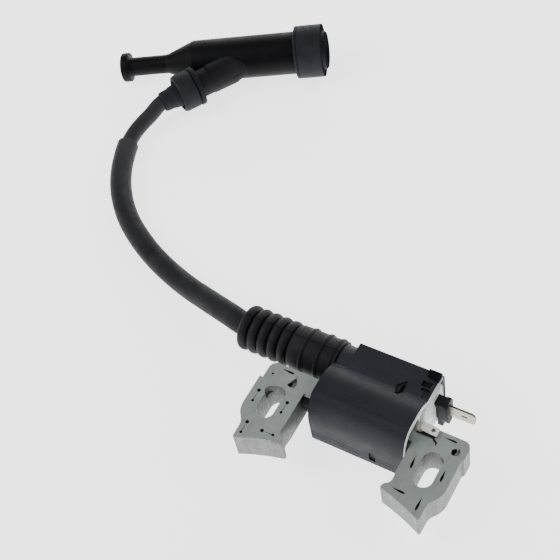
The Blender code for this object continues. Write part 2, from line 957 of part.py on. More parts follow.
def make_lead(parent):
    line = lead_line()
    total = lengths_of(line)
    long = total[-1]
    sleeve_start = LEAD_START_X - SLEEVE_START_X
    sleeve_end = SLEEVE_END_AT * long
    conductor_start = 4.2 * MM
    conductor_end = long - 6.0 * MM
    stations = [0.0, conductor_start, sleeve_start, sleeve_end, conductor_end, long]
    distances = [0.0]
    for first, second in zip(stations, stations[1:]):
        steps = max(1, round((second - first) / long * LEAD_SAMPLES))
        distances += [first + (second - first) * (i + 1) / steps for i in range(steps)]

    def between(low, high):
        return [point_at(line, total, d) for d in distances if low - 1e-7 <= d <= high + 1e-7]

    tube_along("lead_insulation", between(0, long), LEAD_RADIUS, LEAD_BORE_RADIUS, lead_jacket(), parent)
    tube_along(
        "lead_conductor", between(conductor_start, conductor_end), CONDUCTOR_RADIUS, 0, copper(), parent
    )
    tube_along(
        "lead_sleeve",
        between(sleeve_start, sleeve_end),
        SLEEVE_RADIUS,
        LEAD_RADIUS + GAP,
        lead_jacket(),
        parent,
    )


def make_boot(parent):
    turned("ribbed_boot", boot_profile(), rubber(), parent, "x", (0, TOWER_Y, AXIS_Z))


# ---------------------------------------------------------------- plug cap


def make_cap_body(cap, branch):
    lip = 0.6 * MM
    profile = [(0, CAP_END), (CAP_RADIUS - lip, CAP_END)]
    profile += [
        (CAP_RADIUS, CAP_END - lip),
        (CAP_RADIUS, CAP_TUBE_START),
        (CAP_RADIUS - 0.5 * MM, CAP_TUBE_START - 1.4 * MM),
        (GRIP_RADIUS + 0.5 * MM, GRIP_END + 1.4 * MM),
        (GRIP_RADIUS, GRIP_END),
        (GRIP_RADIUS, HANDLE_FLANGE + 0.6 * MM),
        (GRIP_RADIUS + 0.7 * MM, HANDLE_FLANGE),
        (HANDLE_RADIUS - 0.8 * MM, HANDLE_FLANGE),
        (HANDLE_RADIUS, HANDLE_FLANGE - 0.8 * MM),
        (HANDLE_RADIUS, 0.9 * MM),
        (HANDLE_RADIUS - 0.9 * MM, 0),
        (0, 0),
    ]
    body = turned("cap_body", profile, black_plastic(), cap)
    half = BRANCH_FLANGE / 2
    reach = 26.0 * MM
    arm_profile = [
        (0, reach),
        (BRANCH_RADIUS, reach),
        (BRANCH_RADIUS, half),
        (BRANCH_FLANGE_RADIUS - 0.5 * MM, half),
        (BRANCH_FLANGE_RADIUS, half - 0.5 * MM),
        (BRANCH_FLANGE_RADIUS, -half + 0.5 * MM),
        (BRANCH_FLANGE_RADIUS - 0.5 * MM, -half),
        (0, -half),
    ]
    arm = turned("join_branch", arm_profile, black_plastic(), branch, segments=28, collection=CUTTERS)
    boolean(body, arm, "UNION")
    socket = rod(
        "cut_socket",
        SOCKET_RADIUS,
        SOCKET_BOTTOM,
        CAP_END + CUTTER_REACH,
        black_plastic(),
        cap,
        (0, 0, 0),
        24,
        CUTTERS,
    )
    passage = 24.0 * MM
    stop = LEAD_STOP + GAP
    lead_bore = turned(
        "cut_lead_bore",
        [
            (0, passage),
            (2.9 * MM, passage),
            (2.9 * MM, stop),
            (LEAD_RADIUS + GAP, stop),
            (LEAD_RADIUS + GAP, -half - CUTTER_REACH),
            (0, -half - CUTTER_REACH),
        ],
        black_plastic(),
        branch,
        segments=SMALL_SEGMENTS,
        collection=CUTTERS,
    )
    boolean(body, socket)
    boolean(body, lead_bore)


def make_cap_rubber(cap, branch):
    half = BRANCH_FLANGE / 2
    start = -half - GAP
    bore = LEAD_RADIUS + GAP
    grommet = [
        (GROMMET_RADIUS, start),
        (GROMMET_RADIUS - 0.3 * MM, GROMMET_END + 2.4 * MM),
        (GROMMET_RADIUS - 1.0 * MM, GROMMET_END + 0.8 * MM),
        (GROMMET_RADIUS - 2.0 * MM, GROMMET_END),
        (5.4 * MM, GROMMET_END),
        (5.0 * MM, GROMMET_END - 2.6 * MM),
        (4.5 * MM, GROMMET_END - 2.9 * MM),
        (4.4 * MM, NIPPLE_END),
        (bore, NIPPLE_END),
        (bore, start),
    ]
    turned("lead_grommet", grommet, slate_rubber(), branch, segments=28)

    sleeve_bore = CAP_RADIUS + GAP
    seal = [
        (PLUG_HOLE_RADIUS, SEAL_LIP_END),
        (SEAL_LIP_RADIUS - 0.8 * MM, SEAL_LIP_END),
        (SEAL_LIP_RADIUS, SEAL_LIP_END - 0.9 * MM),
        (SEAL_LIP_RADIUS, SEAL_END),
        (SEAL_RADIUS - 0.3 * MM, SEAL_END),
        (SEAL_RADIUS, SEAL_END - 0.3 * MM),
        (SEAL_RADIUS, SEAL_START),
        (sleeve_bore, SEAL_START),
        (sleeve_bore, CAP_END + GAP),
        (PLUG_HOLE_RADIUS, CAP_END + GAP),
    ]
    turned("plug_seal", seal, slate_rubber(), cap)


def make_cap_contacts(cap, branch):
    # Spring clip that snaps on the plug's terminal nut: a split cup with a floor
    clip_start = SOCKET_BOTTOM + GAP
    clip_end = clip_start + 10.0 * MM
    outer, inner = 6.5 * MM, 5.9 * MM
    cup = [
        (outer, clip_end),
        (outer, clip_start),
        (1.2 * MM, clip_start),
        (1.2 * MM, clip_start + 0.6 * MM),
        (inner, clip_start + 0.6 * MM),
        (inner, clip_end),
    ]
    clip = turned("plug_clip", cup, tin_plate(), cap, segments=24)
    for i, turn in enumerate((0.0, math.pi / 2)):
        slit = block(
            f"cut_clip_slit_{i}",
            (clip_start + 3.0 * MM, -0.8 * MM, -9.0 * MM),
            (clip_end + 2.0 * MM, 0.8 * MM, 9.0 * MM),
            tin_plate(),
            cap,
            CUTTERS,
        )
        slit.rotation_euler = (turn + math.pi / 4, 0, 0)
        boolean(clip, slit)

    # In the branch: a screw that threads into the lead's strands, then the suppression resistor
    head = LEAD_STOP + 2 * GAP
    head_end = head + 1.6 * MM
    screw = [
        (0, head_end),
        (2.5 * MM, head_end),
        (2.5 * MM, head),
        (CONDUCTOR_RADIUS, head),
        (CONDUCTOR_RADIUS, LEAD_STOP - 4.8 * MM),
        (0, LEAD_STOP - 5.7 * MM),
    ]
    turned("contact_screw", screw, brass(), branch, segments=16)
    body_radius = 2.5 * MM
    nose_radius = 0.8 * MM
    resistor = [
        (0, 17.6 * MM),
        (nose_radius, 17.6 * MM),
        (nose_radius, 16.0 * MM),
        (body_radius, 15.2 * MM),
        (body_radius, head_end + GAP),
        (0, head_end + GAP),
    ]
    turned("suppression_resistor", resistor, ceramic(), branch, segments=16)


def make_frames():
    coil = bpy.data.objects.new("ignition_coil", None)
    coil.location = (-ORIGIN_X, -ORIGIN_Y, -FLOOR_Z)
    cap = bpy.data.objects.new("plug_cap_frame", None)
    cap.matrix_basis = cap_frame()
    branch = bpy.data.objects.new("branch_frame", None)
    branch.matrix_basis = branch_frame()
    for empty, parent in ((coil, None), (cap, coil), (branch, cap)):
        link(empty, parent)
    return coil, cap, branch


clear_scene()
PARTS = new_collection("ignition_coil")
CUTTERS = new_collection("cutters")
coil_frame, plug_cap_frame, lead_entry_frame = make_frames()
make_core(coil_frame)
make_case(coil_frame)
make_potting(coil_frame)
make_windings(coil_frame)
make_module(coil_frame)
make_terminals(coil_frame)
make_boot(coil_frame)
make_lead(coil_frame)
make_cap_body(plug_cap_frame, lead_entry_frame)
make_cap_rubber(plug_cap_frame, lead_entry_frame)
make_cap_contacts(plug_cap_frame, lead_entry_frame)
bpy.context.view_layer.update()
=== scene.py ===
"""The ignition coil's looks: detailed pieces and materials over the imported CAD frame.

Most pieces are built in the core frame, in which x runs along the core's back bar, y points away
from the flywheel and z runs through the lamination stack from its lower face. Lengths are in metres.
"""

import math

import bmesh
import bpy
from mathutils import Matrix, Vector


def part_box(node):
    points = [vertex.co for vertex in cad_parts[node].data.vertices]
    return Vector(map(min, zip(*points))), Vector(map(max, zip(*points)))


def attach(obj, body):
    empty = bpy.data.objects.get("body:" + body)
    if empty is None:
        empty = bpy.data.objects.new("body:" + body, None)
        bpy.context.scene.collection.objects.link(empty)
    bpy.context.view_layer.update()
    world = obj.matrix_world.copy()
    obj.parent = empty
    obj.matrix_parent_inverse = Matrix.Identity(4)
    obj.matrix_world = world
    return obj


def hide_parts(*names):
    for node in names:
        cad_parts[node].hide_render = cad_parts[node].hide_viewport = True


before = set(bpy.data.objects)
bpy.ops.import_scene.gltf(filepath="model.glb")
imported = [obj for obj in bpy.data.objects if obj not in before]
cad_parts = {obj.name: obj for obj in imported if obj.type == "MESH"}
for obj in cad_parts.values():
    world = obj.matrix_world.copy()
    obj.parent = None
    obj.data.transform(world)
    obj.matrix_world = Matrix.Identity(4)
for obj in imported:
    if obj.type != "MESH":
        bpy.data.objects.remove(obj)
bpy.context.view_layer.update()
MM = 0.001


def at(*place):
    """A place written in millimetres, in metres."""
    return tuple(part * MM for part in place)


# -------- dimensions shared with the CAD

STACK = 11.6 * MM
SHEET = 0.5 * MM
BAR_REAR_Y = 15.7 * MM
BAR_RIGHT_X = 40.6 * MM
LEG_INNER_X = 21.5 * MM
LEG_OUTER_X = 39.9 * MM
FOOT_OUTER_X = 36.1 * MM
FOOT_INNER_X = 19.3 * MM
FOOT_INNER_Y = -12.6 * MM
FLYWHEEL_RADIUS = 89.0 * MM
SLOT_X = 31.0 * MM
SLOT_Y = 0.2 * MM
AXIS_Z = STACK / 2
TOWER_Y = 28.8 * MM
CASE_FRONT_Y = 2.4 * MM
CASE_LEFT_X = -17.4 * MM
CASE_OPEN_X = 20.2 * MM
CASE_TOP_Z = 17.4 * MM
MODULE_LEFT_X = -12.4 * MM
MODULE_REAR_Y = 35.6 * MM
MODULE_TOP_Z = 13.9 * MM
WALL = 1.2 * MM
BOOT_END_X = -58.9 * MM
LEAD_RADIUS = 3.5 * MM
SLEEVE_RADIUS = 4.7 * MM
# Plug cap, in millimetres along its own axis from the pull handle's end, and radii
CAP_R = 9.6
CAP_TUBE_START = 34.6
SEAL_START = 82.4
SEAL_R = 11.9
BRANCH_R = 6.3
# The lead's route between the boot and the cap, in millimetres in the core frame
ROUTE = [
    (-46.0, 28.8, 5.8),
    (-60.0, 28.9, 5.8),
    (-67.0, 30.6, 5.2),
    (-75.0, 32.9, 3.4),
    (-83.3, 35.6, 1.0),
    (-91.7, 38.2, -1.1),
    (-100.3, 41.1, -2.5),
    (-109.7, 44.4, -2.8),
    (-119.2, 48.5, -2.85),
    (-128.7, 53.7, -2.85),
    (-136.1, 58.6, -2.85),
    (-143.1, 64.6, -2.85),
    (-149.4, 71.5, -2.85),
    (-154.7, 79.2, -2.85),
    (-158.9, 87.6, -2.85),
    (-162.0, 96.0, -2.8),
    (-162.8, 102.0, -2.4),
    (-162.0, 107.6, -1.3),
    (-160.2, 112.8, 0.2),
]

# The core frame's place: the stack's lower face, the bar's right end and the bar's rear
core_low, core_high = (Vector(p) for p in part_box("core_bar_and_right_leg"))
FLOOR_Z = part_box("coil_case")[0][2] - core_low.z
CORE = Matrix.Translation((core_high.x - BAR_RIGHT_X, core_high.y - BAR_REAR_Y, core_low.z))


def cap_place():
    """The cap's frame, with x from its handle to the plug: the CAD's rule for how it lies."""
    tilt = math.atan2((SEAL_R - CAP_R) * MM, (SEAL_START - CAP_TUBE_START) * MM)
    height = FLOOR_Z + CAP_R * MM * math.cos(tilt) - CAP_TUBE_START * MM * math.sin(tilt)
    spot = Matrix.Translation((-189.3 * MM, 133.9 * MM, height))
    turn = Matrix.Rotation(math.radians(25.7), 4, "Z") @ Matrix.Rotation(-tilt, 4, "Y")
    return CORE @ spot @ turn @ Matrix.Rotation(math.radians(-1.3), 4, "X")


CAP = cap_place()
BRANCH = CAP @ Matrix.Translation((37.0 * MM, -16.6 * MM, 0)) @ Matrix.Rotation(math.radians(31.8), 4, "Z")


# -------- camera, light and floor


def link(obj):
    bpy.context.scene.collection.objects.link(obj)


def make_camera():
    camera = bpy.data.objects.new("camera", bpy.data.cameras.new("camera"))
    link(camera)
    focal, frame_width = 1200, 560  # in the pixels of the frame
    camera.data.sensor_width = 36.0
    camera.data.lens = focal / frame_width * 36.0
    camera.data.clip_start = 0.01
    turn = Matrix.Rotation(math.radians(39.4), 4, "Z") @ Matrix.Rotation(math.radians(37.35), 4, "X")
    turn = turn @ Matrix.Rotation(math.radians(-12.36), 4, "Z")
    camera.matrix_world = CORE @ Matrix.Translation((0.12333, -0.16751, 0.37934)) @ turn
    bpy.context.scene.camera = camera


def area_light(name, place, aim, size, power):
    light = bpy.data.lights.new(name, "AREA")
    light.shape = "RECTANGLE"
    light.size, light.size_y = size
    light.energy = power
    made = bpy.data.objects.new(name, light)
    link(made)
    made.location = place
    made.rotation_euler = (Vector(aim) - Vector(place)).to_track_quat("-Z", "Y").to_euler()


def make_studio():
    world = bpy.data.worlds.new("studio")
    world.use_nodes = True
    background = world.node_tree.nodes["Background"]
    background.inputs["Color"].default_value = (1.0, 1.0, 1.0, 1.0)
    background.inputs["Strength"].default_value = 0.36
    bpy.context.scene.world = world
    aim = (-0.05, 0.05, 0.0)
    area_light("key", (-0.60, -0.35, 0.75), aim, (0.6, 0.6), 6.0)
    area_light("fill", (0.60, 0.35, 0.55), aim, (0.5, 0.5), 1.9)
    area_light("rim", (-0.30, 1.00, 0.30), aim, (1.2, 0.4), 6.8)
    floor = bpy.data.objects.new("floor", bpy.data.meshes.new("floor"))
    link(floor)
    work = bmesh.new()
    bmesh.ops.create_grid(work, x_segments=1, y_segments=1, size=3.0)
    work.to_mesh(floor.data)
    work.free()
    floor.location.z = -0.02 * MM
    paint = bpy.data.materials.new("pale_floor")
    paint.use_nodes = True
    shader = paint.node_tree.nodes["Principled BSDF"]
    shader.inputs["Base Color"].default_value = (0.93, 0.93, 0.93, 1.0)
    shader.inputs["Roughness"].default_value = 0.9
    shader.inputs["Specular IOR Level"].default_value = 0.1
    shader.inputs["Emission Color"].default_value = (1.0, 1.0, 1.0, 1.0)
    shader.inputs["Emission Strength"].default_value = 2.2
    floor.data.materials.append(paint)


# -------- material nodes


class Surface:
    """A Principled material with short calls for the nodes that this scene uses."""

    def __init__(self, name, roughness=0.5, metallic=0.0, specular=0.5):
        self.material = bpy.data.materials.new(name)
        self.material.use_nodes = True
        self.tree = self.material.node_tree
        self.shader = self.tree.nodes["Principled BSDF"]
        self.shader.inputs["Roughness"].default_value = roughness
        self.shader.inputs["Metallic"].default_value = metallic
        self.shader.inputs["Specular IOR Level"].default_value = specular
        self.where = self.tree.nodes.new("ShaderNodeTexCoord").outputs["Object"]
        self.height = None

    def join(self, source, target):
        self.tree.links.new(source, target)

    def noise(self, size, detail=3.0, stretch=(1, 1, 1)):
        """Noise whose blobs are about size metres across."""
        scale = self.tree.nodes.new("ShaderNodeMapping")
        scale.inputs["Scale"].default_value = [1 / (size * s) for s in stretch]
        self.join(self.where, scale.inputs["Vector"])
        made = self.tree.nodes.new("ShaderNodeTexNoise")
        made.inputs["Scale"].default_value = 1.0
        made.inputs["Detail"].default_value = detail
        made.inputs["Roughness"].default_value = 0.55
        self.join(scale.outputs["Vector"], made.inputs["Vector"])
        return made.outputs["Fac"]

    def axis(self, letter):
        split = self.tree.nodes.new("ShaderNodeSeparateXYZ")
        self.join(self.where, split.inputs[0])
        return split.outputs[letter]

    def math(self, operation, first, second=None, third=None):
        made = self.tree.nodes.new("ShaderNodeMath")
        made.operation = operation
        for socket, value in zip(made.inputs, (first, second, third)):
            if value is None:
                continue
            if isinstance(value, (int, float)):
                socket.default_value = value
            else:
                self.join(value, socket)
        return made.outputs[0]

    def spread(self, value, low, high, to_low=0.0, to_high=1.0):
        """A value stretched from low..high to to_low..to_high, and held at the ends."""
        made = self.tree.nodes.new("ShaderNodeMapRange")
        made.inputs["From Min"].default_value = low
        made.inputs["From Max"].default_value = high
        made.inputs["To Min"].default_value = to_low
        made.inputs["To Max"].default_value = to_high
        self.join(value, made.inputs["Value"])
        return made.outputs["Result"]

    def cloud(self, size, detail, low, high, to_low=0.0, to_high=1.0):
        """Spread noise, with its size in millimetres."""
        return self.spread(self.noise(size * MM, detail), low, high, to_low, to_high)

    def mix(self, share, first, second):
        made = self.tree.nodes.new("ShaderNodeMix")
        made.data_type = "RGBA"
        self.join(share, made.inputs["Factor"])
        for socket, value in ((made.inputs[6], first), (made.inputs[7], second)):
            if isinstance(value, tuple):
                socket.default_value = (*value, 1.0)
            else:
                self.join(value, socket)
        return made.outputs[2]

    def colour(self, source):
        self.join(source, self.shader.inputs["Base Color"])

    def roughness(self, source):
        self.join(source, self.shader.inputs["Roughness"])

    def bump(self, source, depth, strength=1.0):
        """Relief of depth metres; calls add up."""
        made = self.tree.nodes.new("ShaderNodeBump")
        made.inputs["Distance"].default_value = depth
        made.inputs["Strength"].default_value = strength
        self.join(source, made.inputs["Height"])
        if self.height is not None:
            self.join(self.height, made.inputs["Normal"])
        self.height = made.outputs["Normal"]
        self.join(self.height, self.shader.inputs["Normal"])


def steel_face():
    """The stack's flat faces: greenish oxide film with faint stains and rolling marks."""
    s = Surface("steel_face", 0.48, 0.35)
    film = s.mix(s.cloud(9, 4, 0.35, 0.65), (0.264, 0.300, 0.287), (0.300, 0.335, 0.322))
    stain = s.spread(s.noise(2.2 * MM, 5, (1, 3, 1)), 0.56, 0.74)
    film = s.mix(stain, film, (0.215, 0.240, 0.225))
    grain = s.spread(s.noise(0.16 * MM, 2, (1, 5, 1)), 0.3, 0.7)
    s.colour(s.mix(s.math("MULTIPLY", grain, 0.25), film, (0.36, 0.39, 0.375)))
    s.roughness(s.cloud(3, 3, 0.3, 0.7, 0.40, 0.58))
    s.bump(s.noise(0.35 * MM, 3), 0.010 * MM)
    s.bump(s.noise(6 * MM, 2), 0.05 * MM)
    return s.material


def steel_edge():
    """The stack's cut sides: sheared sheets with thin dark joints, torn grain, run streaks, and painted
    shade and reflection of the black case on the left leg's inner side."""
    s = Surface("steel_edge", 0.5, 0.3)
    layer = s.math("FRACT", s.math("DIVIDE", s.axis("Z"), SHEET))
    joint = s.math("MAXIMUM", s.spread(layer, 0.0, 0.13, 1, 0), s.spread(layer, 0.90, 1.0, 0, 1))
    joint = s.math("MULTIPLY", joint, s.spread(s.noise(1.6 * MM, 3, (1, 1, 0.3)), 0.36, 0.62, 0.15, 1.0))
    torn = s.spread(s.noise(0.45 * MM, 4, (1, 1, 2.2)), 0.34, 0.68)
    body = s.mix(torn, (0.120, 0.124, 0.123), (0.218, 0.223, 0.220))
    streak = s.spread(s.noise(1.8 * MM, 4, (1, 1, 6)), 0.44, 0.70)
    body = s.mix(s.math("MULTIPLY", streak, 0.5), body, (0.33, 0.335, 0.33))
    body = s.mix(s.math("MULTIPLY", joint, 0.62), body, (0.11, 0.112, 0.112))
    inward = s.spread(s.axis("X"), -23.5 * MM, -22.5 * MM)
    beside = s.math("MULTIPLY", inward, s.spread(s.axis("X"), -19.5 * MM, -18.5 * MM, 1, 0))
    rise = s.math("ADD", s.axis("Z"), s.math("MULTIPLY", s.axis("Y"), 0.5))
    high = s.spread(s.math("ADD", rise, s.math("MULTIPLY", s.noise(2 * MM, 4), 4 * MM)), 4.0 * MM, 9.0 * MM)
    # Painted shade and reflection of the black case: the left leg's inner side darkens next to the case, more
    # towards its top.
    painted_case_shade = s.math("MULTIPLY", beside, high)
    s.colour(s.mix(s.math("MULTIPLY", painted_case_shade, 0.92), body, (0.012, 0.012, 0.012)))
    s.roughness(s.spread(torn, 0, 1, 0.62, 0.45))
    s.bump(s.math("SUBTRACT", torn, joint), 0.05 * MM, 0.8)
    return s.material


def shade_black():
    """Near-black painted shade for the floors of the interlock marks and lance holes, a dark mark, and the
    slab under the strap.
    """
    s = Surface("shade_black_steel", 0.7, 0.2, 0.1)
    s.colour(s.mix(s.noise(0.4 * MM), (0.008, 0.008, 0.008), (0.030, 0.027, 0.022)))
    return s.material


def wear_and_highlight():
    """The rounded upper edges of the sheets: wear, with a painted highlight where they face up."""
    s = Surface("wear_and_highlight_steel", 0.42, 0.4)
    s.colour(s.mix(s.cloud(1.5, 4, 0.38, 0.62), (0.46, 0.49, 0.48), (0.74, 0.76, 0.75)))
    return s.material


def shaded():
    """Mid-grey painted shade for the recessed shoulders of the slots, the lances' torn lips, the blade's
    dimple and the plug in the strap's hole.
    """
    s = Surface("shaded_steel", 0.55, 0.4)
    s.colour(s.mix(s.spread(s.noise(0.6 * MM), 0.35, 0.65), (0.110, 0.112, 0.106), (0.190, 0.190, 0.180)))
    return s.material


def case_moulding(name, dark, light, rough, specular):
    """Glass-filled plastic: fine spark-eroded texture, faint flow marks and handling sheen."""
    s = Surface(name, rough, 0.0, specular)
    flow = s.spread(s.noise(14 * MM, 3, (2.5, 1, 1)), 0.36, 0.66)
    fibre = s.spread(s.noise(0.30 * MM, 2, (3, 1, 1)), 0.60, 0.78)
    body = s.mix(flow, dark, light)
    s.colour(s.mix(s.math("MULTIPLY", fibre, 0.35), body, tuple(3.0 * c for c in light)))
    s.roughness(s.cloud(5, 4, 0.3, 0.7, rough - 0.06, rough + 0.08))
    s.bump(s.noise(0.22 * MM, 2), 0.012 * MM)
    return s.material


def gloss_moulding(name, dark, light):
    """The cap's black plastic, with a soft sheen and a slightly wavy skin."""
    s = Surface(name, 0.5, 0.0, 0.10)
    s.colour(s.mix(s.cloud(10, 3, 0.35, 0.65), dark, light))
    s.roughness(s.cloud(4, 5, 0.3, 0.7, 0.46, 0.58))
    s.bump(s.noise(0.5 * MM, 2), 0.006 * MM)
    s.bump(s.noise(5 * MM, 2), 0.03 * MM)
    return s.material


def rubber(name, dark, light, rough, grain, dust=0.12, pale=None, specular=0.12):
    """Moulded rubber: matte, with a fine grain, bloom in the hollows and specks of dust."""
    s = Surface(name, rough, 0.0, specular)
    bloom = s.cloud(6, 4, 0.34, 0.68)
    body = s.mix(bloom, dark, light)
    if pale:
        toward_cap = s.spread(s.axis("Y"), 50 * MM, 110 * MM, 0.0, 0.8)
        body = s.mix(toward_cap, body, pale)
    speck = s.cloud(0.5, 3, 0.70, 0.80)
    s.colour(s.mix(s.math("MULTIPLY", speck, dust), body, (0.16, 0.16, 0.16)))
    s.roughness(s.cloud(2.5, 4, 0.3, 0.7, rough - 0.08, rough + 0.10))
    s.bump(s.noise(grain * MM, 3), 0.02 * MM)
    return s.material


def set_resin():
    """Poured resin: off-white, glossy skin with soft sags and a few amber stains at its edge."""
    s = Surface("set_resin", 0.33, 0.0, 0.5)
    body = s.mix(s.cloud(5, 3, 0.35, 0.65), (0.80, 0.84, 0.84), (0.93, 0.95, 0.94))
    stain = s.cloud(2.4, 4, 0.62, 0.74)
    # Greyer towards the rear, from y 25 to 33 mm: painted shade.
    body = s.mix(s.spread(s.axis("Y"), 25 * MM, 33 * MM), body, (0.34, 0.37, 0.37))
    s.colour(s.mix(s.math("MULTIPLY", stain, 0.5), body, (0.30, 0.24, 0.17)))
    s.roughness(s.cloud(2, 3, 0.3, 0.7, 0.24, 0.45))
    s.bump(s.noise(3.5 * MM, 2), 0.25 * MM)
    s.bump(s.noise(0.6 * MM, 2), 0.02 * MM)
    return s.material


def flux():
    """Resin and flux burnt brown over the strap's joint."""
    s = Surface("burnt_flux", 0.45)
    body = s.mix(s.cloud(0.8, 4, 0.38, 0.60), (0.36, 0.34, 0.28), (0.58, 0.57, 0.51))
    s.colour(s.mix(s.cloud(0.6, 3, 0.58, 0.66), body, (0.06, 0.05, 0.035)))
    s.bump(s.noise(0.5 * MM, 3), 0.12 * MM)
    return s.material


def plated(name, dark, light, metallic):
    """Tinned steel, bright and slightly warm, with rolling lines and dull fingerprints."""
    s = Surface(name, 0.3, metallic)
    s.colour(s.mix(s.cloud(1.6, 4, 0.35, 0.68), dark, light))
    s.roughness(s.spread(s.noise(1.2 * MM, 4, (4, 1, 1)), 0.3, 0.7, 0.22, 0.42))
    s.bump(s.noise(0.25 * MM, 3, (5, 1, 1)), 0.01 * MM)
    return s.material


def plain_metal(name, dark, light, rough):
    s = Surface(name, rough, 0.95)
    s.colour(s.mix(s.cloud(1.5, 4, 0.35, 0.65), dark, light))
    s.roughness(s.cloud(0.8, 3, 0.3, 0.7, rough - 0.06, rough + 0.12))
    return s.material


def wound_wire():
    """Enamelled wire laid in even turns along x."""
    s = Surface("enamelled_wire", 0.3, 0.8)
    turn = s.math("FRACT", s.math("DIVIDE", s.axis("X"), 0.25 * MM))
    crest = s.math("SINE", s.math("MULTIPLY", turn, math.pi))
    s.colour(s.mix(crest, (0.12, 0.035, 0.012), (0.58, 0.22, 0.08)))
    s.bump(crest, 0.1 * MM)
    return s.material


def plain_moulding(name, dark, light, rough):
    s = Surface(name, rough)
    s.colour(s.mix(s.cloud(1.5, 4, 0.35, 0.65), dark, light))
    s.bump(s.noise(0.4 * MM, 3), 0.01 * MM)
    return s.material


# -------- mesh helpers


def new_object(name, work, surface, place):
    mesh = bpy.data.meshes.new(name)
    work.to_mesh(mesh)
    work.free()
    made = bpy.data.objects.new(name, mesh)
    link(made)
    made.matrix_world = place
    mesh.materials.append(surface)
    return made


def smooth(obj, angle):
    obj.data.shade_smooth()
    obj.data.set_sharp_from_angle(angle=math.radians(angle))
    return obj


def bake(obj):
    """Replace the mesh by its evaluated one."""
    bpy.context.view_layer.update()
    graph = bpy.context.evaluated_depsgraph_get()
    mesh = bpy.data.meshes.new_from_object(obj.evaluated_get(graph))
    old = obj.data
    obj.modifiers.clear()
    obj.data = mesh
    mesh.name = obj.name
    bpy.data.meshes.remove(old)
    return obj


def carve(obj, tools, operation="DIFFERENCE", solver="EXACT"):
    """Cut or join with throw-away tools."""
    for tool in tools:
        step = obj.modifiers.new("step", "BOOLEAN")
        step.operation = operation
        step.solver = solver
        step.object = tool
        if solver == "EXACT":
            step.material_mode = "TRANSFER"
    bake(obj)
    for tool in tools:
        bpy.data.objects.remove(tool, do_unlink=True)
    return weld(obj)


def weld(obj):
    """Merge points that a boolean leaves within 2 micrometres of each other."""
    work = bmesh.new()
    work.from_mesh(obj.data)
    bmesh.ops.remove_doubles(work, verts=work.verts, dist=0.002 * MM)
    bmesh.ops.dissolve_degenerate(work, edges=work.edges, dist=0.002 * MM)
    work.to_mesh(obj.data)
    work.free()
    return obj


def round_edges(obj, width, segments=3, angle=32.0):
    step = obj.modifiers.new("edges", "BEVEL")
    step.width = width
    step.segments = segments
    step.limit_method = "ANGLE"
    step.angle_limit = math.radians(angle)
    return settle(bake(obj))


def settle(obj):
    """Shade smoothly, with the large faces kept flat."""
    smooth(obj, 40.0)
    step = obj.modifiers.new("normals", "WEIGHTED_NORMAL")
    step.keep_sharp = True
    step.mode = "FACE_AREA_WITH_ANGLE"
    return bake(obj)


def arc(centre, radius, start, end, steps):
    turns = [math.radians(start + (end - start) * i / steps) for i in range(steps + 1)]
    return [(centre[0] + radius * math.cos(t), centre[1] + radius * math.sin(t)) for t in turns]


def rectangle(low, high, radius=0.0, steps=6):
    if not radius:
        return [low, (high[0], low[1]), high, (low[0], high[1])]
    corners = [
        ((high[0] - radius, low[1] + radius), 270),
        ((high[0] - radius, high[1] - radius), 0),
        ((low[0] + radius, high[1] - radius), 90),
        ((low[0] + radius, low[1] + radius), 180),
    ]
    return [p for centre, start in corners for p in arc(centre, radius, start, start + 90, steps)]


def metres(points):
    """Points written in millimetres, as metres."""
    return [at(*point) for point in points]


def circle(centre, radius, steps=32):
    return arc(centre, radius, 0, 360 - 360 / steps, steps - 1)


def plate(name, outlines, low, high, surface, along="z"):
    """A flat outline, with any holes in it, given thickness in the core frame.

    Along x it is drawn in y and z, and along y in x and z.
    """
    curve = bpy.data.curves.new(name, "CURVE")
    curve.dimensions = "2D"
    curve.fill_mode = "BOTH"
    curve.extrude = (high - low) / 2
    for outline in outlines:
        spline = curve.splines.new("POLY")
        spline.points.add(len(outline) - 1)
        for point, (u, v) in zip(spline.points, outline):
            point.co = (u, v, 0, 1)
        spline.use_cyclic_u = True
    flat = bpy.data.objects.new("flat", curve)
    link(flat)
    bpy.context.view_layer.update()
    graph = bpy.context.evaluated_depsgraph_get()
    mesh = bpy.data.meshes.new_from_object(flat.evaluated_get(graph))
    bpy.data.objects.remove(flat, do_unlink=True)
    bpy.data.curves.remove(curve)
    work = bmesh.new()
    work.from_mesh(mesh)
    bpy.data.meshes.remove(mesh)
    bmesh.ops.remove_doubles(work, verts=work.verts, dist=0.001 * MM)
    move = Matrix.Translation((0, 0, (low + high) / 2))
    if along == "x":
        move = Matrix.Rotation(math.pi / 2, 4, "Z") @ Matrix.Rotation(math.pi / 2, 4, "X") @ move
    elif along == "y":
        move = Matrix.Rotation(math.pi / 2, 4, "X") @ Matrix.Translation((0, 0, -(low + high) / 2))
    bmesh.ops.transform(work, matrix=move, verts=work.verts)
    bmesh.ops.recalc_face_normals(work, faces=work.faces)
    return new_object(name, work, surface, CORE)


def block(name, low, high, surface):
    return plate(name, [rectangle(low[:2], high[:2])], low[2], high[2], surface)


def lathe(name, profile, surface, place, steps):
    """A profile of (radius, distance) turned round x. It closes into a ring if it starts off the axis."""
    work = bmesh.new()
    rings = []
    for radius, along in profile:
        if radius <= 0:
            rings.append([work.verts.new((along, 0, 0))])
            continue
        turns = [2 * math.pi * i / steps for i in range(steps)]
        rings.append([work.verts.new((along, radius * math.cos(t), radius * math.sin(t))) for t in turns])
    pairs = list(zip(rings, rings[1:]))
    if profile[0][0] > 0:
        pairs.append((rings[-1], rings[0]))
    for first, second in pairs:
        for i in range(steps):
            j = (i + 1) % steps
            corners = [first[i % len(first)], first[j % len(first)]]
            corners += [second[j % len(second)], second[i % len(second)]]
            corners = list(dict.fromkeys(corners))
            if len(corners) > 2:
                work.faces.new(corners)
    bmesh.ops.recalc_face_normals(work, faces=work.faces)
    return smooth(new_object(name, work, surface, place), 42.0)


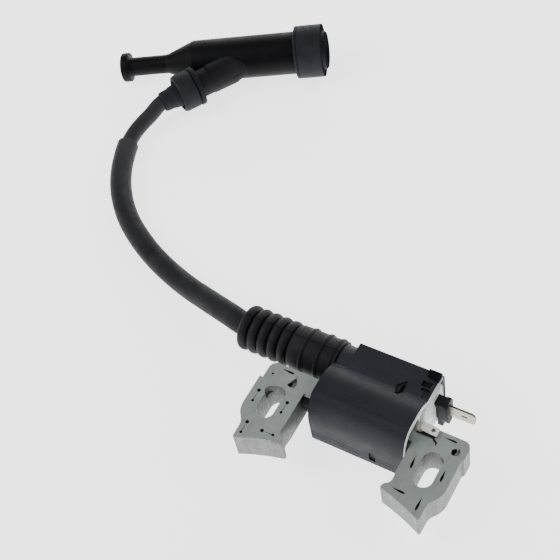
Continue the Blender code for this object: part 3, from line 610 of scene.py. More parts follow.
def soften(profile, radius, steps=4):
    """Round the corners of a profile, leaving the ones on the axis."""
    made = []
    count = len(profile)
    ring = profile[0][0] > 0
    for i, point in enumerate(profile):
        if (not ring and i in (0, count - 1)) or point[0] <= 0:
            made.append(point)
            continue
        here = Vector(point)
        before = Vector(profile[i - 1]) - here
        after = Vector(profile[(i + 1) % count]) - here
        if before.length < 1e-7 or after.length < 1e-7 or before.angle(after) > math.radians(172):
            made.append(point)
            continue
        reach = min(radius, 0.45 * before.length, 0.45 * after.length)
        start, end = here + before.normalized() * reach, here + after.normalized() * reach
        for k in range(steps + 1):
            t = k / steps
            made.append(tuple(start * (1 - t) ** 2 + here * (2 * t * (1 - t)) + end * t**2))
    return made


def catmull(points, samples):
    """A smooth centripetal curve through the points."""
    ends = [points[0] * 2 - points[1], *points, points[-1] * 2 - points[-2]]
    line = []
    for a, b, c, d in zip(ends, ends[1:], ends[2:], ends[3:]):
        knots = [0.0]
        for first, second in ((a, b), (b, c), (c, d)):
            knots.append(knots[-1] + math.sqrt((second - first).length))
        for i in range(samples):
            t = knots[1] + (knots[2] - knots[1]) * i / samples

            def mix(p, q, low, high):
                return p * ((high - t) / (high - low)) + q * ((t - low) / (high - low))

            ab, bc = mix(a, b, knots[0], knots[1]), mix(b, c, knots[1], knots[2])
            cd = mix(c, d, knots[2], knots[3])
            before, after = mix(ab, bc, knots[0], knots[2]), mix(bc, cd, knots[1], knots[3])
            line.append(mix(before, after, knots[1], knots[2]))
    return line + [points[-1]]


def curve_through(points, samples=6):
    return [tuple(p) for p in catmull([Vector(p) for p in points], samples)]


def sweep(name, line, section, surface, sides=40):
    """A tube along a line, out along its outside and back along its bore; section gives the radii."""
    work = bmesh.new()
    side = Vector((0, 0, 1)).cross(line[1] - line[0]).normalized()
    rings = []
    for i, point in enumerate(line):
        ahead = (line[min(i + 1, len(line) - 1)] - line[max(i - 1, 0)]).normalized()
        side = (side - ahead * side.dot(ahead)).normalized()
        lift = ahead.cross(side)
        radius = section[i]
        turns = [2 * math.pi * k / sides for k in range(sides)]
        around = [side * math.cos(t) + lift * math.sin(t) for t in turns]
        rings.append([work.verts.new(point + way * radius) for way in around])
    for first, second in [*zip(rings, rings[1:]), (rings[-1], rings[0])]:
        for k in range(sides):
            j = (k + 1) % sides
            work.faces.new((first[k], first[j], second[j], second[k]))
    bmesh.ops.recalc_face_normals(work, faces=work.faces)
    return smooth(new_object(name, work, surface, Matrix.Identity(4)), 50.0)


# -------- lead and sleeve


def lead_line():
    """Centre line of the lead in the row frame."""
    points = [CORE @ Vector((-18.0 * MM, TOWER_Y, AXIS_Z)), CORE @ Vector((-31.0 * MM, TOWER_Y, AXIS_Z))]
    points += [CORE @ (Vector(p) * MM) for p in ROUTE]
    points += [BRANCH @ Vector((x * MM, 0, 0)) for x in (-17.9, -8.0, 6.0)]
    return catmull(points, 12)


def along_line(line, low, high, step):
    """Even steps of a line between two distances from its start."""
    total = [0.0]
    for first, second in zip(line, line[1:]):
        total.append(total[-1] + (second - first).length)
    high = min(high, total[-1])
    count = max(2, round((high - low) / step))
    made = []
    i = 1
    for k in range(count + 1):
        distance = low + (high - low) * k / count
        while i < len(line) - 1 and total[i] < distance:
            i += 1
        share = (distance - total[i - 1]) / (total[i] - total[i - 1])
        made.append(line[i - 1].lerp(line[i], share))
    return made, total[-1]


def make_cord():
    line = lead_line()
    path, long = along_line(line, 0.0, math.inf, 1.6 * MM)
    curve = bpy.data.curves.new("lead", "CURVE")
    curve.dimensions = "3D"
    curve.bevel_depth = LEAD_RADIUS
    curve.bevel_resolution = 9
    curve.use_fill_caps = True
    spline = curve.splines.new("POLY")
    spline.points.add(len(path) - 1)
    for point, place in zip(spline.points, path):
        point.co = (*place, 1)
    spline.use_smooth = True
    lead = bpy.data.objects.new("lead", curve)
    link(lead)
    curve.materials.append(LEAD_RUBBER)

    start, end = 10.0 * MM, 0.775 * long  # the sleeve stops well short of the cap
    walk, _ = along_line(line, start, end, 1.4 * MM)
    ahead = (walk[-1] - walk[-2]).normalized()
    rim = [walk[-1] + ahead * x * MM for x in (0.25, 0.45, 0.5)]
    outer = walk + rim
    radii = [SLEEVE_RADIUS] * len(walk) + [SLEEVE_RADIUS - x * MM for x in (0.08, 0.28, 0.5)]
    inner = [rim[-1], *reversed(walk)]
    radii += [LEAD_RADIUS + 0.25 * MM] * len(inner)
    sleeve = sweep("lead_sleeve_skin", outer + inner, radii, SLEEVE_RUBBER)
    return lead, sleeve, long


def declare_cord(lead, sleeve):
    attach(lead, "coil")
    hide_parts("lead_insulation")
    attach(sleeve, "coil")
    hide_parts("lead_sleeve")


# -------- core


def leg_outline(side, top_inner, top_outer):
    """One leg from its outer shoulder round the foot to its inner shoulder."""
    flank = [(39.9, -2.0), (39.85, -4.4), (39.5, -6.2), (38.65, -8.2)]
    flank += [(37.4, -9.9), (36.65, -11.2), (36.35, -12.8)]
    outer = [(LEG_OUTER_X / MM, top_outer)] + curve_through(flank)
    centre_y = FOOT_INNER_Y - math.sqrt(FLYWHEEL_RADIUS**2 - FOOT_INNER_X**2)
    foot = []
    for i in range(17):
        x = FOOT_OUTER_X + (FOOT_INNER_X - FOOT_OUTER_X) * i / 16
        foot.append((x / MM, (centre_y + math.sqrt(FLYWHEEL_RADIUS**2 - x**2)) / MM))
    foot[0:1] = [(36.22, -17.35), (35.95, -17.85), (35.5, -17.86)]
    heel = [(19.35, -12.2), (19.4, -11.5), (19.95, -10.6), (20.95, -9.85)]
    heel += [(21.55, -8.9), (21.75, -7.5), (21.6, -6.0), (21.5, -4.6)]
    inner = curve_through(heel) + [(LEG_INNER_X / MM, top_inner)]
    return [(side * x * MM, y * MM) for x, y in outer + foot + inner]


def slot_outline(side, grow=0.0):
    radius = 3.5 * MM + grow
    reach = 3.5 * MM
    top = arc((side * SLOT_X, SLOT_Y + reach), radius, 0, 180, 20)
    return top + arc((side * SLOT_X, SLOT_Y - reach), radius, 180, 360, 20)


def dash(x0, y0, x1, y1, width=0.95, top=STACK, depth=0.6):
    """A pressed mark between two points in millimetres, thin at its start and wide near its end."""
    start, along = Vector((x0, y0)), Vector((x1 - x0, y1 - y0))
    across = Vector((-along.y, along.x)).normalized() * width / 2
    shares = ((0.0, 0.10), (0.3, 0.48), (0.6, 0.90), (0.82, 0.92), (1.0, 0.45))
    side = [start + along * t + across * w for t, w in shares]
    side += [start + along * t - across * w for t, w in reversed(shares)]
    # The mark's floor is near-black painted shade.
    return plate("mark", [[tuple(p * MM) for p in side]], top - depth * MM, top + 1 * MM, SHADE_BLACK)


def pit(x, y, radius, top, depth=0.7):
    """A small drilled dimple."""
    outline = circle((x * MM, y * MM), radius * MM, 16)
    # The dimple's floor is near-black painted shade.
    return plate("pit", [outline], top - depth * MM, top + 1 * MM, SHADE_BLACK)


def lance(corners, depth, surface):
    """A torn hole in the stack's upper face."""
    return plate("lance", [metres(corners)], STACK - depth * MM, STACK + 1 * MM, surface)


def shoulder(x, y, low, high):
    """A recess beside a slot, where the upper sheets are cut wider."""
    # The recess is painted with mid-grey shade.
    return plate("shoulder", [circle((x * MM, y * MM), 2.25 * MM, 24)], low, high, SHADED)


def finish_steel(obj, width=0.18 * MM):
    """Round the sheared edges, then give the flat faces, the cut sides and the upward rounded edges, with
    their wear and painted highlight, their own surfaces.
    """
    round_edges(obj, width, 2, 50.0)
    mesh = obj.data
    surfaces = [STEEL_FACE, STEEL_EDGE, SHADE_BLACK, SHADED, WEAR_AND_HIGHLIGHT]
    cut = [surfaces.index(surface) for surface in mesh.materials]
    flat, wear_highlight_tilt = 0.93, 0.3  # how far a flat face and an upper edge with its painted highlight point up
    kinds = []
    for face in mesh.polygons:
        # Rounded edges that face up are painted as wear with a highlight; other sides get the cut-side
        # surface.
        side = surfaces.index(WEAR_AND_HIGHLIGHT if face.normal.z > wear_highlight_tilt else STEEL_EDGE)
        kinds.append(cut[face.material_index] or (side if abs(face.normal.z) < flat else 0))
    mesh.materials.clear()
    for surface in surfaces:
        mesh.materials.append(surface)
    for face, kind in zip(mesh.polygons, kinds):
        face.material_index = kind
    return obj


def make_core():
    right = leg_outline(1, 7.8, 8.2)
    outline = (
        right
        + [at(-38.0, 7.8)]
        + [at(-39.0, 8.6)]
        + arc(at(-36.0, 13.2), 3.0 * MM, 180, 90, 10)
        + arc(at(37.8, 12.9), 2.8 * MM, 90, 0, 10)
        + [(BAR_RIGHT_X, 8.6 * MM)]
    )
    bar = plate("core_bar_skin", [outline, slot_outline(1)], 0, STACK, STEEL_FACE)
    right_hole = [(35.5, 9.0), (35.2, 10.7), (36.4, 11.7), (37.0, 10.9), (36.7, 9.9), (36.6, 8.9)]
    right_tear = right_hole[:3] + [(37.2, 10.9), (37.1, 12.2), (38.3, 10.9), (38.2, 9.3), (36.6, 8.7)]
    left_hole = [(-29.2, 8.9), (-29.0, 11.3), (-28.0, 10.9), (-27.5, 10.6), (-27.5, 9.6), (-27.9, 8.7)]
    left_tear = left_hole[:3] + [(-27.6, 13.1), (-26.4, 12.0), (-25.8, 10.6), (-26.3, 9.2), (-27.8, 8.6)]
    dark_mark = [(27.2, 11.9), (28.6, 11.6), (29.6, 10.8), (29.4, 9.3), (28.9, 10.5), (28.0, 11.0)]
    # The marks, lance holes and dark mark are floored with near-black painted shade; the lances' torn lips
    # and the slot's shoulder take mid-grey painted shade.
    marks = [
        dash(25.1, 3.1, 25.5, -1.8),
        dash(36.5, 2.6, 36.7, -2.1),
        dash(23.1, -10.9, 27.9, -11.2),
        dash(33.8, -10.0, 33.7, -15.1),
        dash(31.0, 13.95, 35.7, 13.8, 0.85),
        dash(-33.9, 14.5, -29.0, 14.4, 0.95),
        lance(right_tear, 0.5, SHADED),
        lance(right_hole, 1.8, SHADE_BLACK),
        lance(left_tear, 0.5, SHADED),
        lance(left_hole, 1.8, SHADE_BLACK),
        lance(dark_mark, 0.3, SHADE_BLACK),
        shoulder(32.5, 4.6, STACK - 2.4 * MM, 20 * MM),
    ]
    carve(bar, marks)
    finish_steel(bar)

    top = STACK + 0.8 * MM
    outlines = [leg_outline(-1, 7.5, 7.5), slot_outline(-1)]
    left = plate("core_left_leg_skin", outlines, 0, STACK + 0.05 * MM, STEEL_FACE)
    shoulders = ((-32.95, 4.1), (-29.5, 4.7))
    cuts = [shoulder(x, y, STACK - 3.2 * MM, 20 * MM) for x, y in shoulders]
    finish_steel(carve(left, cuts))
    lap = leg_outline(-1, 8.5, 8.2)
    lap += metres([(-28.0, 8.5), (-28.9, 9.0), (-27.2, 12.6), (-27.8, 13.4)])
    lap += metres([(-37.0, 12.7), (-37.7, 12.1), (-37.6, 8.2)])
    outlines = [lap, slot_outline(-1, -0.02 * MM)]
    sheet = plate("core_left_leg_top_sheet", outlines, STACK + 0.08 * MM, top, STEEL_FACE)
    # The pits and dashes are floored with near-black painted shade, the shoulders with mid-grey painted
    # shade.
    pits = []
    for x0, y0, x1, y1 in (
        (-37.0, 2.6, -37.0, -2.0),
        (-25.1, 2.4, -25.2, -2.0),
        (-34.3, -10.5, -34.3, -15.0),
        (-27.7, -11.3, -23.3, -11.2),
    ):
        pits += [pit(x0, y0, 0.70, top), pit(x1, y1, 0.56, top), dash(x0, y0, x1, y1, 0.26, top, 0.16)]
    pits += [pit(-35.9, 10.9, 0.45, top, 0.4)]
    pits += [shoulder(x, y, STACK - 1 * MM, 20 * MM) for x, y in shoulders]
    carve(sheet, pits)
    finish_steel(sheet, 0.32 * MM)
    for piece, node in ((bar, "core_bar_and_right_leg"), (left, "core_left_leg"), (sheet, "core_left_leg")):
        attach(piece, "coil")
        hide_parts(node)


# -------- case and resin


def front_and_top(inset):
    """The main chamber's section in y and z: its front foot, an elliptical shoulder, and the top's slope."""
    front, top, low = CASE_FRONT_Y + inset, CASE_TOP_Z - inset, FLOOR_Z + inset
    deep, tall = 7.2 * MM - inset, 13.4 * MM - inset
    foot = 0.6 * MM
    outline = arc((front + foot, low + foot), foot, 270, 180, 4)
    outline += [(front + deep + y * deep, top - tall + z * tall) for y, z in arc((0, 0), 1, 180, 90, 40)]
    drops = ((12.5, 0.0), (16.0, 0.1), (19.0, 1.0), (21.8, 2.6))
    slope = [(y * MM, top - drop * MM) for y, drop in drops]
    return outline + curve_through(slope, 8)


def main_section(inset=0.0):
    rear = 24.4 * MM - inset
    return front_and_top(inset) + [(rear, CASE_TOP_Z - 4.6 * MM - inset), (rear, FLOOR_Z + inset)]


def full_section(inset=0.0):
    rear, low, top = MODULE_REAR_Y - inset, FLOOR_Z + inset, MODULE_TOP_Z - inset
    corner = 1.0 * MM
    return (
        front_and_top(inset)
        + [(22.6 * MM, top + 0.25 * MM), (23.4 * MM, top)]
        + arc((rear - corner, top - corner), corner, 90, 0, 6)
        + arc((rear - corner, low + corner), corner, 0, -90, 6)
    )


def rod(name, radius, start, end, centre, surface):
    """A round bar along x; centre is in y and z."""
    profile = [(0, end), (radius, end), (radius, start), (0, start)]
    return lathe(name, profile, surface, CORE @ Matrix.Translation((0, *centre)), 64)


def make_case():
    hair = 0.1 * MM
    case = plate("coil_case_skin", [full_section()], MODULE_LEFT_X, CASE_OPEN_X, CASE, along="x")
    tower = (TOWER_Y, AXIS_Z)
    joins = [
        plate("part", [main_section()], CASE_LEFT_X, MODULE_LEFT_X + 2 * MM, CASE, along="x"),
        rod("part", 7.6 * MM, CASE_LEFT_X + hair, MODULE_LEFT_X + WALL - hair, tower, CASE),
        rod("part", 5.6 * MM, -27.0 * MM, CASE_LEFT_X + 1 * MM, tower, CASE),
    ]
    carve(case, joins, "UNION", "MANIFOLD")
    window = [at(7.5, -0.3), at(16.0, -0.3), at(16.0, 11.9), at(7.5, 11.9)]
    gusset = [(7.4, 23.6), (8.7, 20.6), (9.9, 20.7), (10.8, 22.8), (10.7, 25.8), (10.3, 27.8), (7.6, 25.2)]
    deep = [(9.0, 22.4), (9.7, 21.6), (10.5, 22.9), (10.4, 25.8), (10.0, 26.6), (9.0, 25.4)]
    cuts = [
        plate("cut", [main_section(WALL)], CASE_LEFT_X + WALL, MODULE_LEFT_X + 3 * WALL, CASE, along="x"),
        plate("cut", [full_section(WALL)], MODULE_LEFT_X + WALL, CASE_OPEN_X + 5 * MM, CASE, along="x"),
        plate("cut", [window], CASE_LEFT_X - 5 * MM, 0, CASE, along="x"),
        rod("cut", 3.8 * MM, -32.0 * MM, MODULE_LEFT_X + 2 * WALL, tower, CASE),
        block("cut", at(6.4, 1.4, -5.0), at(8.9, 3.2, 0.4), CASE),
    ]
    carve(case, cuts, "DIFFERENCE", "MANIFOLD")
    round_edges(case, 0.28 * MM, 3, 38.0)
    # The gusset's deeper part is floored with near-black painted shadow; the catch windows are floored with
    # the darker block plastic as painted shade.
    details = [
        plate("cut", [metres(gusset)], 13.1 * MM, 18 * MM, CASE),
        plate("cut", [metres(deep)], 12.85 * MM, 18 * MM, SHADOW),
        block("cut", at(15.2, 28.1, 12.85), at(19.0, 30.4, 14.9), DARK_SHADE_PLASTIC),
        block("cut", at(15.9, 26.3, 13.1), at(19.3, 27.5, 14.9), DARK_SHADE_PLASTIC),
        block("cut", at(17.3, 23.4, 13.55), at(19.8, 26.0, 16.0), CASE),
    ]
    for z in (-2.0, -3.9):
        high = (22 * MM, CASE_FRONT_Y + 0.09 * MM, (z + 0.3) * MM)
        details.append(block("cut", (-20 * MM, 0, z * MM), high, CASE))
    carve(case, details)
    case.data.shade_flat()
    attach(case, "coil")
    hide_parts("coil_case")

    latch_outline = [(15.3, 35.3), (20.45, 35.3), (20.5, 31.5), (19.0, 31.9), (15.9, 32.5)]
    # The latch is painted with the near-black shadow paint of the pockets.
    latch = plate("case_latch", [metres(latch_outline)], 12.9 * MM, 14.85 * MM, SHADOW)
    round_edges(latch, 0.18 * MM, 2)
    # A dark block in the gap between the left leg and the case, standing in for the shade there.
    shade_block_high = (CASE_LEFT_X + 0.6 * MM, 7.6 * MM, 11.3 * MM)
    shade_block = block("bobbin_shade_block", at(-21.2, 5.2, 7.2), shade_block_high, DARK_SHADE_PLASTIC)
    round_edges(shade_block, 0.3 * MM, 3)
    flange_rear, flange_inset = 12.6 * MM, 1.7 * MM
    inner = [p for p in full_section(flange_inset) if p[0] <= flange_rear]
    inner.append((flange_rear, FLOOR_Z + flange_inset))
    flange = plate("bobbin_flange", [inner], 18.7 * MM, 19.6 * MM, DARK_SHADE_PLASTIC, along="x")
    carve(flange, [plate("cut", [tunnel_outline()], 10 * MM, 30 * MM, DARK_SHADE_PLASTIC, along="x")])
    round_edges(flange, 0.15 * MM, 2)
    rim_low = (CASE_OPEN_X - 0.4 * MM, 35.0 * MM, FLOOR_Z + 1.2 * MM)
    rim = block("case_rear_rim", rim_low, at(21.1, 35.5, 13.2), CASE)
    round_edges(rim, 0.15 * MM, 3)
    for piece in (latch, shade_block, flange, rim):
        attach(piece, "coil")


def tunnel_outline():
    """The bar's way through the open end."""
    return rectangle(at(6.9, -0.9), at(16.5, 12.4))


def make_resin():
    """The resin: a lip over the rim, and a cushion that swells out of the open end behind the bar."""
    low_x = 18.7 * MM
    lip_low, lip_high = CASE_OPEN_X + 0.02 * MM, CASE_OPEN_X + 0.55 * MM
    body = plate("potting_resin_skin", [full_section(0.15 * MM)], lip_low, lip_high, RESIN, along="x")
    carve(body, [plate("cut", [full_section(1.0 * MM)], 10 * MM, 30 * MM, RESIN, along="x")])
    inside = plate("part", [full_section(0.95 * MM)], low_x, CASE_OPEN_X - 0.35 * MM, RESIN, along="x")
    carve(body, [inside], "UNION")
    front = [p for p in full_section(1.9 * MM) if p[0] <= 12.2 * MM] + [(12.2 * MM, FLOOR_Z + 1.9 * MM)]
    cuts = [
        plate("cut", [tunnel_outline()], 10 * MM, 30 * MM, RESIN, along="x"),
        plate("cut", [front], 10 * MM, 30 * MM, RESIN, along="x"),
        block("cut", (CASE_OPEN_X - 0.05 * MM, 34.9 * MM, -20 * MM), at(30, 40, 20), RESIN),
    ]
    carve(body, cuts)
    round_edges(body, 0.2 * MM, 3)
    cushion = bmesh.new()
    rings = 9
    section_high = (MODULE_REAR_Y - 1.7 * MM, MODULE_TOP_Z - 1.5 * MM)
    section = rectangle((17.2 * MM, FLOOR_Z + 2.2 * MM), section_high, 3.4 * MM, 8)
    centre = Vector(at(23.0, 2.2))
    loops = []
    for i in range(rings + 1):
        share = i / rings
        rise = math.sin(share * math.pi / 2)
        shrink = 1 - 0.62 * (1 - math.cos(share * math.pi / 2))
        x = CASE_OPEN_X + 0.3 * MM + 1.5 * MM * rise
        loops.append([cushion.verts.new((x, *(centre + (Vector(p) - centre) * shrink))) for p in section])
    base = [cushion.verts.new((CASE_OPEN_X - 1 * MM, *p)) for p in section]
    for first, second in zip([base, *loops], loops):
        for k in range(len(section)):
            j = (k + 1) % len(section)
            cushion.faces.new((first[k], first[j], second[j], second[k]))
    cushion.faces.new(loops[-1])
    cushion.faces.new(base)
    bmesh.ops.recalc_face_normals(cushion, faces=cushion.faces)
    swell = smooth(new_object("potting_resin_swell", cushion, RESIN, CORE), 60.0)
    for piece in (body, swell):
        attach(piece, "coil")
        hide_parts("potting_resin")


# -------- terminals


def make_terminals():
    neck_low, neck_high = at(20.9, 25.6, 0.4), at(25.5, 29.2, 9.6)
    neck = block("terminal_block_skin", neck_low, neck_high, DARK_SHADE_PLASTIC)
    ears = [(25.1, 1.6), (26.2, -1.9), (28.8, -1.9), (29.8, 1.6)]
    ears += [(29.8, 10.0), (28.8, 12.4), (26.4, 12.4), (25.1, 10.0)]
    joins = [
        plate("part", [metres(ears)], 25.2 * MM, 26.8 * MM, DARK_SHADE_PLASTIC, along="x"),
        block("part", at(22.1, 26.2, -5.4), at(24.2, 28.6, 1.0), DARK_SHADE_PLASTIC),
        block("part", at(20.0, 25.1, 8.5), at(25.4, 29.6, 10.4), DARK_SHADE_PLASTIC),
    ]
    carve(neck, joins, "UNION")
    carve(neck, [block("cut", at(23.2, 26.8, 2.35), at(32, 28.2, 9.25), DARK_SHADE_PLASTIC)])
    round_edges(neck, 0.25 * MM, 3)
    blade_low, blade_high = AXIS_Z - 3.15 * MM, AXIS_Z + 3.15 * MM
    nose = 1.5 * MM
    outline = [(23.6 * MM, blade_low)]
    outline += arc((36.4 * MM - nose, blade_low + nose), nose, -90, 0, 6)
    outline += arc((36.4 * MM - nose, blade_high - nose), nose, 0, 90, 6)
    outline += [(23.6 * MM, blade_high)]
    blade = plate("stop_terminal_skin", [outline], 27.1 * MM, 27.9 * MM, BLADE, along="y")
    # The dimple is floored with mid-grey painted shade.
    dimple = rectangle(at(31.2, 5.2), at(33.5, 6.3), 0.5 * MM)
    carve(blade, [plate("cut", [dimple], 26.5 * MM, 27.35 * MM, SHADED, along="y")])
    round_edges(blade, 0.16 * MM, 3)
    # The blade's rims get a dark copy of its plating: painted shade along its edges.
    blade.data.materials.append(BLADE_RIM_SHADE)
    for face in blade.data.polygons:
        if abs(face.normal.y) < 0.75 and face.material_index == 0:
            face.material_index = len(blade.data.materials) - 1
    z = STACK + 0.85 * MM
    rivet_spot = at(26.7, 14.1)
    edge = [(22.2, 13.4), (23.0, 12.6), (28.3, 12.3), (28.7, 12.7), (28.5, 15.6), (24.0, 16.0), (22.2, 15.4)]
    strap_outlines = [metres(edge), circle(rivet_spot, 0.8 * MM)]
    strap = plate("ground_strap_skin", strap_outlines, z, z + 0.55 * MM, STRAP)
    round_edges(strap, 0.15 * MM, 3)
    # A dark slab under the strap, standing in for the shadow the strap casts on the bar.
    shadow_slab_high = (28.0 * MM, 15.4 * MM, STACK + 0.5 * MM)
    shadow_slab = block("strap_shadow_slab", (21.3 * MM, 11.75 * MM, STACK), shadow_slab_high, SHADE_BLACK)
    upright = Matrix.Rotation(-math.pi / 2, 4, "Y")
    pool_place = CORE @ Matrix.Translation((22.0 * MM, 14.2 * MM, STACK))
    pool_place = pool_place @ Matrix.Diagonal((1, 1.15, 1, 1)) @ upright
    pool_profile = soften(metres([(0, 1.3), (1.1, 1.2), (1.7, 0.8), (2.1, 0.1), (0, 0.1)]), 0.4 * MM)
    pool = lathe("strap_flux", pool_profile, FLUX, pool_place, 40)
    # A plug in the strap's hole, coloured mid-grey: painted shade in the hole.
    rivet_place = CORE @ Matrix.Translation((*rivet_spot, z + 0.2 * MM)) @ upright
    rivet_profile = soften(metres([(0, 0.1), (0.35, 0.05), (0.62, -0.1), (0.62, -0.6), (0, -0.6)]), 0.1 * MM)
    rivet_shade = lathe("ground_rivet_shade", rivet_profile, SHADED, rivet_place, 32)
    for piece, node, name in (
        (neck, "terminal_block", "case_plastic"),
        (blade, "stop_terminal", "tinned_steel"),
        (strap, "ground_strap", "tinned_steel"),
        (rivet_shade, None, "laminated_steel"),
        (shadow_slab, None, "laminated_steel"),
        (pool, None, "potting_resin"),
    ):
        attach(piece, "coil")
        if node:
            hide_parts(node)


# -------- boot


def make_boot():
    """The ribbed boot, a little off the tower's axis, and the parting line along its top and foot."""
    body, ring, valley, rib = 8.6 * MM, 9.1 * MM, 7.0 * MM, 8.9 * MM
    start = CASE_LEFT_X - 0.3 * MM
    outer = [(body, start)]
    for centre in (-19.6, -24.6, -31.0):
        outer.append((body, (centre + 1.1) * MM))
        for turn in range(0, 181, 20):
            t = math.radians(turn)
            outer.append((body + (ring - body) * math.sin(t), (centre + 0.8 * math.cos(t)) * MM))
        outer.append((body, (centre - 1.1) * MM))
    outer += [at(8.5, -36.0), at(8.3, -36.8)]
    pitch = 4.3 * MM
    for i in range(5):
        centre = -39.4 * MM - i * pitch
        for turn in range(0, 181, 12):
            t = math.radians(turn)
            reach = math.sin(t) ** 0.85 if 0 < turn < 180 else 0.0
            outer.append((valley + (rib - valley) * reach, centre + pitch * 0.46 * math.cos(t)))
    outer += [(6.3 * MM, BOOT_END_X + 0.2 * MM), (6.0 * MM, BOOT_END_X)]
    inner = [(5.0 * MM, BOOT_END_X), at(5.0, -27.3), at(5.9, -27.3), (5.9 * MM, start)]
    place = CORE @ Matrix.Translation((0, TOWER_Y - 0.15 * MM, AXIS_Z - 0.25 * MM))
    boot = lathe("ribbed_boot_skin", outer + inner, BOOT, place, 96)
    seam_path = [(x, r) for r, x in outer if r > valley + 0.2 * MM]
    work = bmesh.new()
    for up in (1, -1):
        last = None
        for x, r in seam_path:
            reach = r + 0.14 * MM
            ring_points = [(-0.3 * MM, r - 0.05 * MM), (0, reach), (0.3 * MM, r - 0.05 * MM)]
            now = [work.verts.new((x, y, up * z)) for y, z in ring_points]
            if last and abs(last[0].co.x - x) < 6 * MM:
                for k in range(3):
                    work.faces.new((last[k], last[(k + 1) % 3], now[(k + 1) % 3], now[k]))
            else:
                work.faces.new(now)
            last = now
        work.faces.new(last)
    bmesh.ops.recalc_face_normals(work, faces=work.faces)
    seam = smooth(new_object("boot_parting_line", work, SEAM, place), 70)
    for piece in (boot, seam):
        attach(piece, "coil")
    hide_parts("ribbed_boot")


# -------- plug cap


def make_cap():
    profile = [(0, 92.5), (CAP_R, 92.5), (CAP_R, 34.9), (9.2, 33.8), (4.7, 22.6), (4.3, 21.4), (4.3, 4.4)]
    profile += [(4.9, 3.8), (6.7, 3.8), (6.7, 0.0), (0, 0.0)]
    body = lathe("cap_body_skin", soften(metres(profile), 0.9 * MM, 6), CAP_BLACK, CAP, 96)
    # The branch and its saddle take a lighter copy of the cap plastic: painted light.
    arm_profile = [(0, 26.0), (BRANCH_R, 26.0), (BRANCH_R, 1.0), (9.1, 1.0), (9.1, -1.2), (0, -1.2)]
    arm = lathe("part", soften(metres(arm_profile), 0.5 * MM, 5), CAP_ARM_LIT, BRANCH, 80)
    turns = [math.radians(t) for t in range(0, 91, 9)]
    dome = [(BRANCH_R * MM * math.sin(t), (17.6 + BRANCH_R * math.cos(t)) * MM) for t in turns]
    saddle = lathe("part", dome + [at(6.1, 7.0), (0, 7.0 * MM)], CAP_ARM_LIT, BRANCH, 80)
    saddle.matrix_world = BRANCH @ Matrix.Diagonal((1, 1, 1.16, 1))
    carve(body, [arm, saddle], "UNION")
    socket = lathe("cut", metres([(0, 99), (7, 99), (7, 46.5), (0, 46.5)]), CAP_BLACK, CAP, 64)
    bore = [(0, 24.0), (2.9, 24.0), (2.9, 6.3), (3.8, 6.3), (3.8, -6.0), (0, -6.0)]
    hole = lathe("cut", metres(bore), CAP_BLACK, BRANCH, 48)
    carve(body, [socket, hole])
    smooth(body, 38.0)

    grommet_start = -1.3 - 0.3
    grommet_profile = [(8.8, grommet_start), (8.75, -8.0), (8.3, -9.3), (7.4, -9.5), (7.1, -9.2), (6.9, -7.3)]
    grommet_profile += [(5.6, -7.1), (5.4, -10.5), (5.1, -12.4), (4.8, -13.0), (4.6, -16.6), (4.3, -17.4)]
    grommet_profile += [(3.7, -17.4), (3.7, grommet_start)]
    grommet = lathe("lead_grommet_skin", soften(metres(grommet_profile), 0.5 * MM, 5), SLATE, BRANCH, 80)
    seal_profile = [(5.4, 96.6), (8.0, 96.6), (8.55, 96.0), (8.6, 94.9), (11.85, 94.8), (SEAL_R, 94.7)]
    seal_profile += [(SEAL_R, 84.1), (11.5, 84.0), (11.5, 83.7), (SEAL_R, 83.6), (SEAL_R, 82.7)]
    seal_profile += [(11.6, SEAL_START), (9.9, SEAL_START), (9.9, 92.8), (5.4, 92.8)]
    seal = lathe("plug_seal_skin", soften(metres(seal_profile), 0.45 * MM, 5), SLATE, CAP, 96)
    # The seal's end faces take a darker, matte copy of its rubber: painted shade.
    seal.data.materials.append(MATTE_SHADE)
    for face in seal.data.polygons:
        along = face.center.x / MM
        face.material_index = int(94.75 < along < 94.95 or along > 96.1)
    for piece, node, name in (
        (body, "cap_body", "cap_plastic"),
        (grommet, "lead_grommet", "slate_rubber"),
        (seal, "plug_seal", "slate_rubber"),
    ):
        piece.data.transform(piece.matrix_world)
        piece.matrix_world = Matrix.Identity(4)
        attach(piece, "plug_cap")
        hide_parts(node)
    return [body, grommet, seal, "plug_clip", "contact_screw", "suppression_resistor"]


# -------- carried-over CAD nodes


def dress_hidden_nodes():
    wire = wound_wire()
    nylon = plain_moulding("bobbin_nylon", (0.50, 0.48, 0.40), (0.66, 0.63, 0.54), 0.45)
    brass = plain_metal("brass", (0.55, 0.36, 0.12), (0.75, 0.55, 0.24), 0.32)
    ceramic = plain_moulding("ceramic", (0.62, 0.58, 0.50), (0.78, 0.74, 0.66), 0.3)
    laminate = plain_moulding("board_laminate", (0.015, 0.12, 0.05), (0.03, 0.20, 0.08), 0.4)
    epoxy = plain_moulding("component_epoxy", (0.012, 0.012, 0.013), (0.03, 0.03, 0.03), 0.45)
    copper = plain_metal("bare_copper", (0.48, 0.18, 0.07), (0.70, 0.32, 0.16), 0.35)
    dress = {
        "primary_bobbin": nylon,
        "secondary_bobbin": nylon,
        "primary_winding": wire,
        "circuit_board": laminate,
        "darlington_transistor": epoxy,
        "flyback_diode": epoxy,
        "base_resistor": ceramic,
        "filter_capacitor": ceramic,
        "high_tension_pin": brass,
        "contact_screw": brass,
        "plug_clip": TIN,
        "suppression_resistor": ceramic,
        "lead_conductor": copper,
        **{f"secondary_winding_{i}": wire for i in range(1, 7)},
    }
    for node, surface in dress.items():
        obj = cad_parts[node]
        for slot in obj.material_slots:
            slot.material = surface


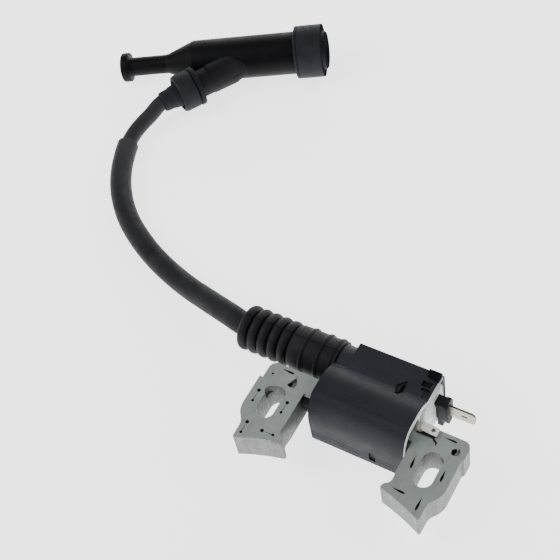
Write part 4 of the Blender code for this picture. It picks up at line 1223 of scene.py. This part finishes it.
make_camera()
LEAD_RUBBER = rubber("lead_rubber", (0.024, 0.023, 0.026), (0.034, 0.033, 0.036), 0.5, 0.5)
SLEEVE_DARK, SLEEVE_LIGHT, SLEEVE_PALE = (0.011, 0.011, 0.014), (0.019, 0.019, 0.023), (0.058, 0.058, 0.060)
SLEEVE_RUBBER = rubber("sleeve_rubber", SLEEVE_DARK, SLEEVE_LIGHT, 0.58, 0.35, pale=SLEEVE_PALE)
lead, sleeve, lead_length = make_cord()
make_studio()
STEEL_FACE = steel_face()
STEEL_EDGE = steel_edge()
SHADE_BLACK = shade_black()
SHADED = shaded()
WEAR_AND_HIGHLIGHT = wear_and_highlight()
CASE = case_moulding("case_moulding", (0.0195, 0.0205, 0.0270), (0.0260, 0.0280, 0.0355), 0.46, 0.09)
# Dark block plastic, also used as painted shade in the catch windows and in the gap beside the left leg.
DARK_SHADE_PLASTIC = case_moulding("block_and_shade_moulding", (0.010, 0.011, 0.014), (0.017, 0.018, 0.022), 0.5, 0.09)
# Near-black painted shadow for the deep pockets and the latch.
SHADOW = case_moulding("pocket_shadow_moulding", (0.003, 0.003, 0.004), (0.007, 0.007, 0.009), 0.7, 0.05)
CAP_BLACK = gloss_moulding("cap_moulding", (0.0020, 0.0020, 0.0030), (0.0040, 0.0040, 0.0050))
# Lighter copy of the cap plastic: painted light on the branch.
CAP_ARM_LIT = gloss_moulding("cap_arm_lit_moulding", (0.0090, 0.0090, 0.0102), (0.0140, 0.0140, 0.0155))
BOOT = rubber("boot_rubber", (0.010, 0.010, 0.012), (0.016, 0.016, 0.018), 0.55, 0.3, 0.06)
SEAM = rubber("seam_rubber", (0.002, 0.002, 0.003), (0.006, 0.006, 0.007), 0.6, 0.3, 0.0)
# Darker, matte copy of the seal's rubber: painted shade on its end faces.
MATTE_SHADE = rubber("matte_shade_rubber", (0.008, 0.008, 0.010), (0.013, 0.013, 0.016), 0.85, 0.3, 0.05, specular=0.0)
SLATE = rubber("slate_rubber", (0.014, 0.015, 0.020), (0.021, 0.022, 0.028), 0.6, 0.3)
RESIN = set_resin()
TIN = plated("tin_plate", (0.70, 0.67, 0.60), (0.86, 0.84, 0.78), 0.9)
BLADE = plated("blade_plate", (0.46, 0.44, 0.335), (0.57, 0.55, 0.44), 0.35)
# Dark copy of the blade's plating: painted shade on its rims.
BLADE_RIM_SHADE = plated("blade_rim_shade", (0.075, 0.070, 0.055), (0.14, 0.13, 0.10), 0.5)
STRAP = plated("strap_plate", (0.80, 0.79, 0.72), (0.96, 0.95, 0.90), 0.1)
FLUX = flux()
make_core()
make_case()
make_resin()
make_terminals()
make_boot()
on_cord = make_cap()
declare_cord(lead, sleeve)
dress_hidden_nodes()
bpy.context.view_layer.update()
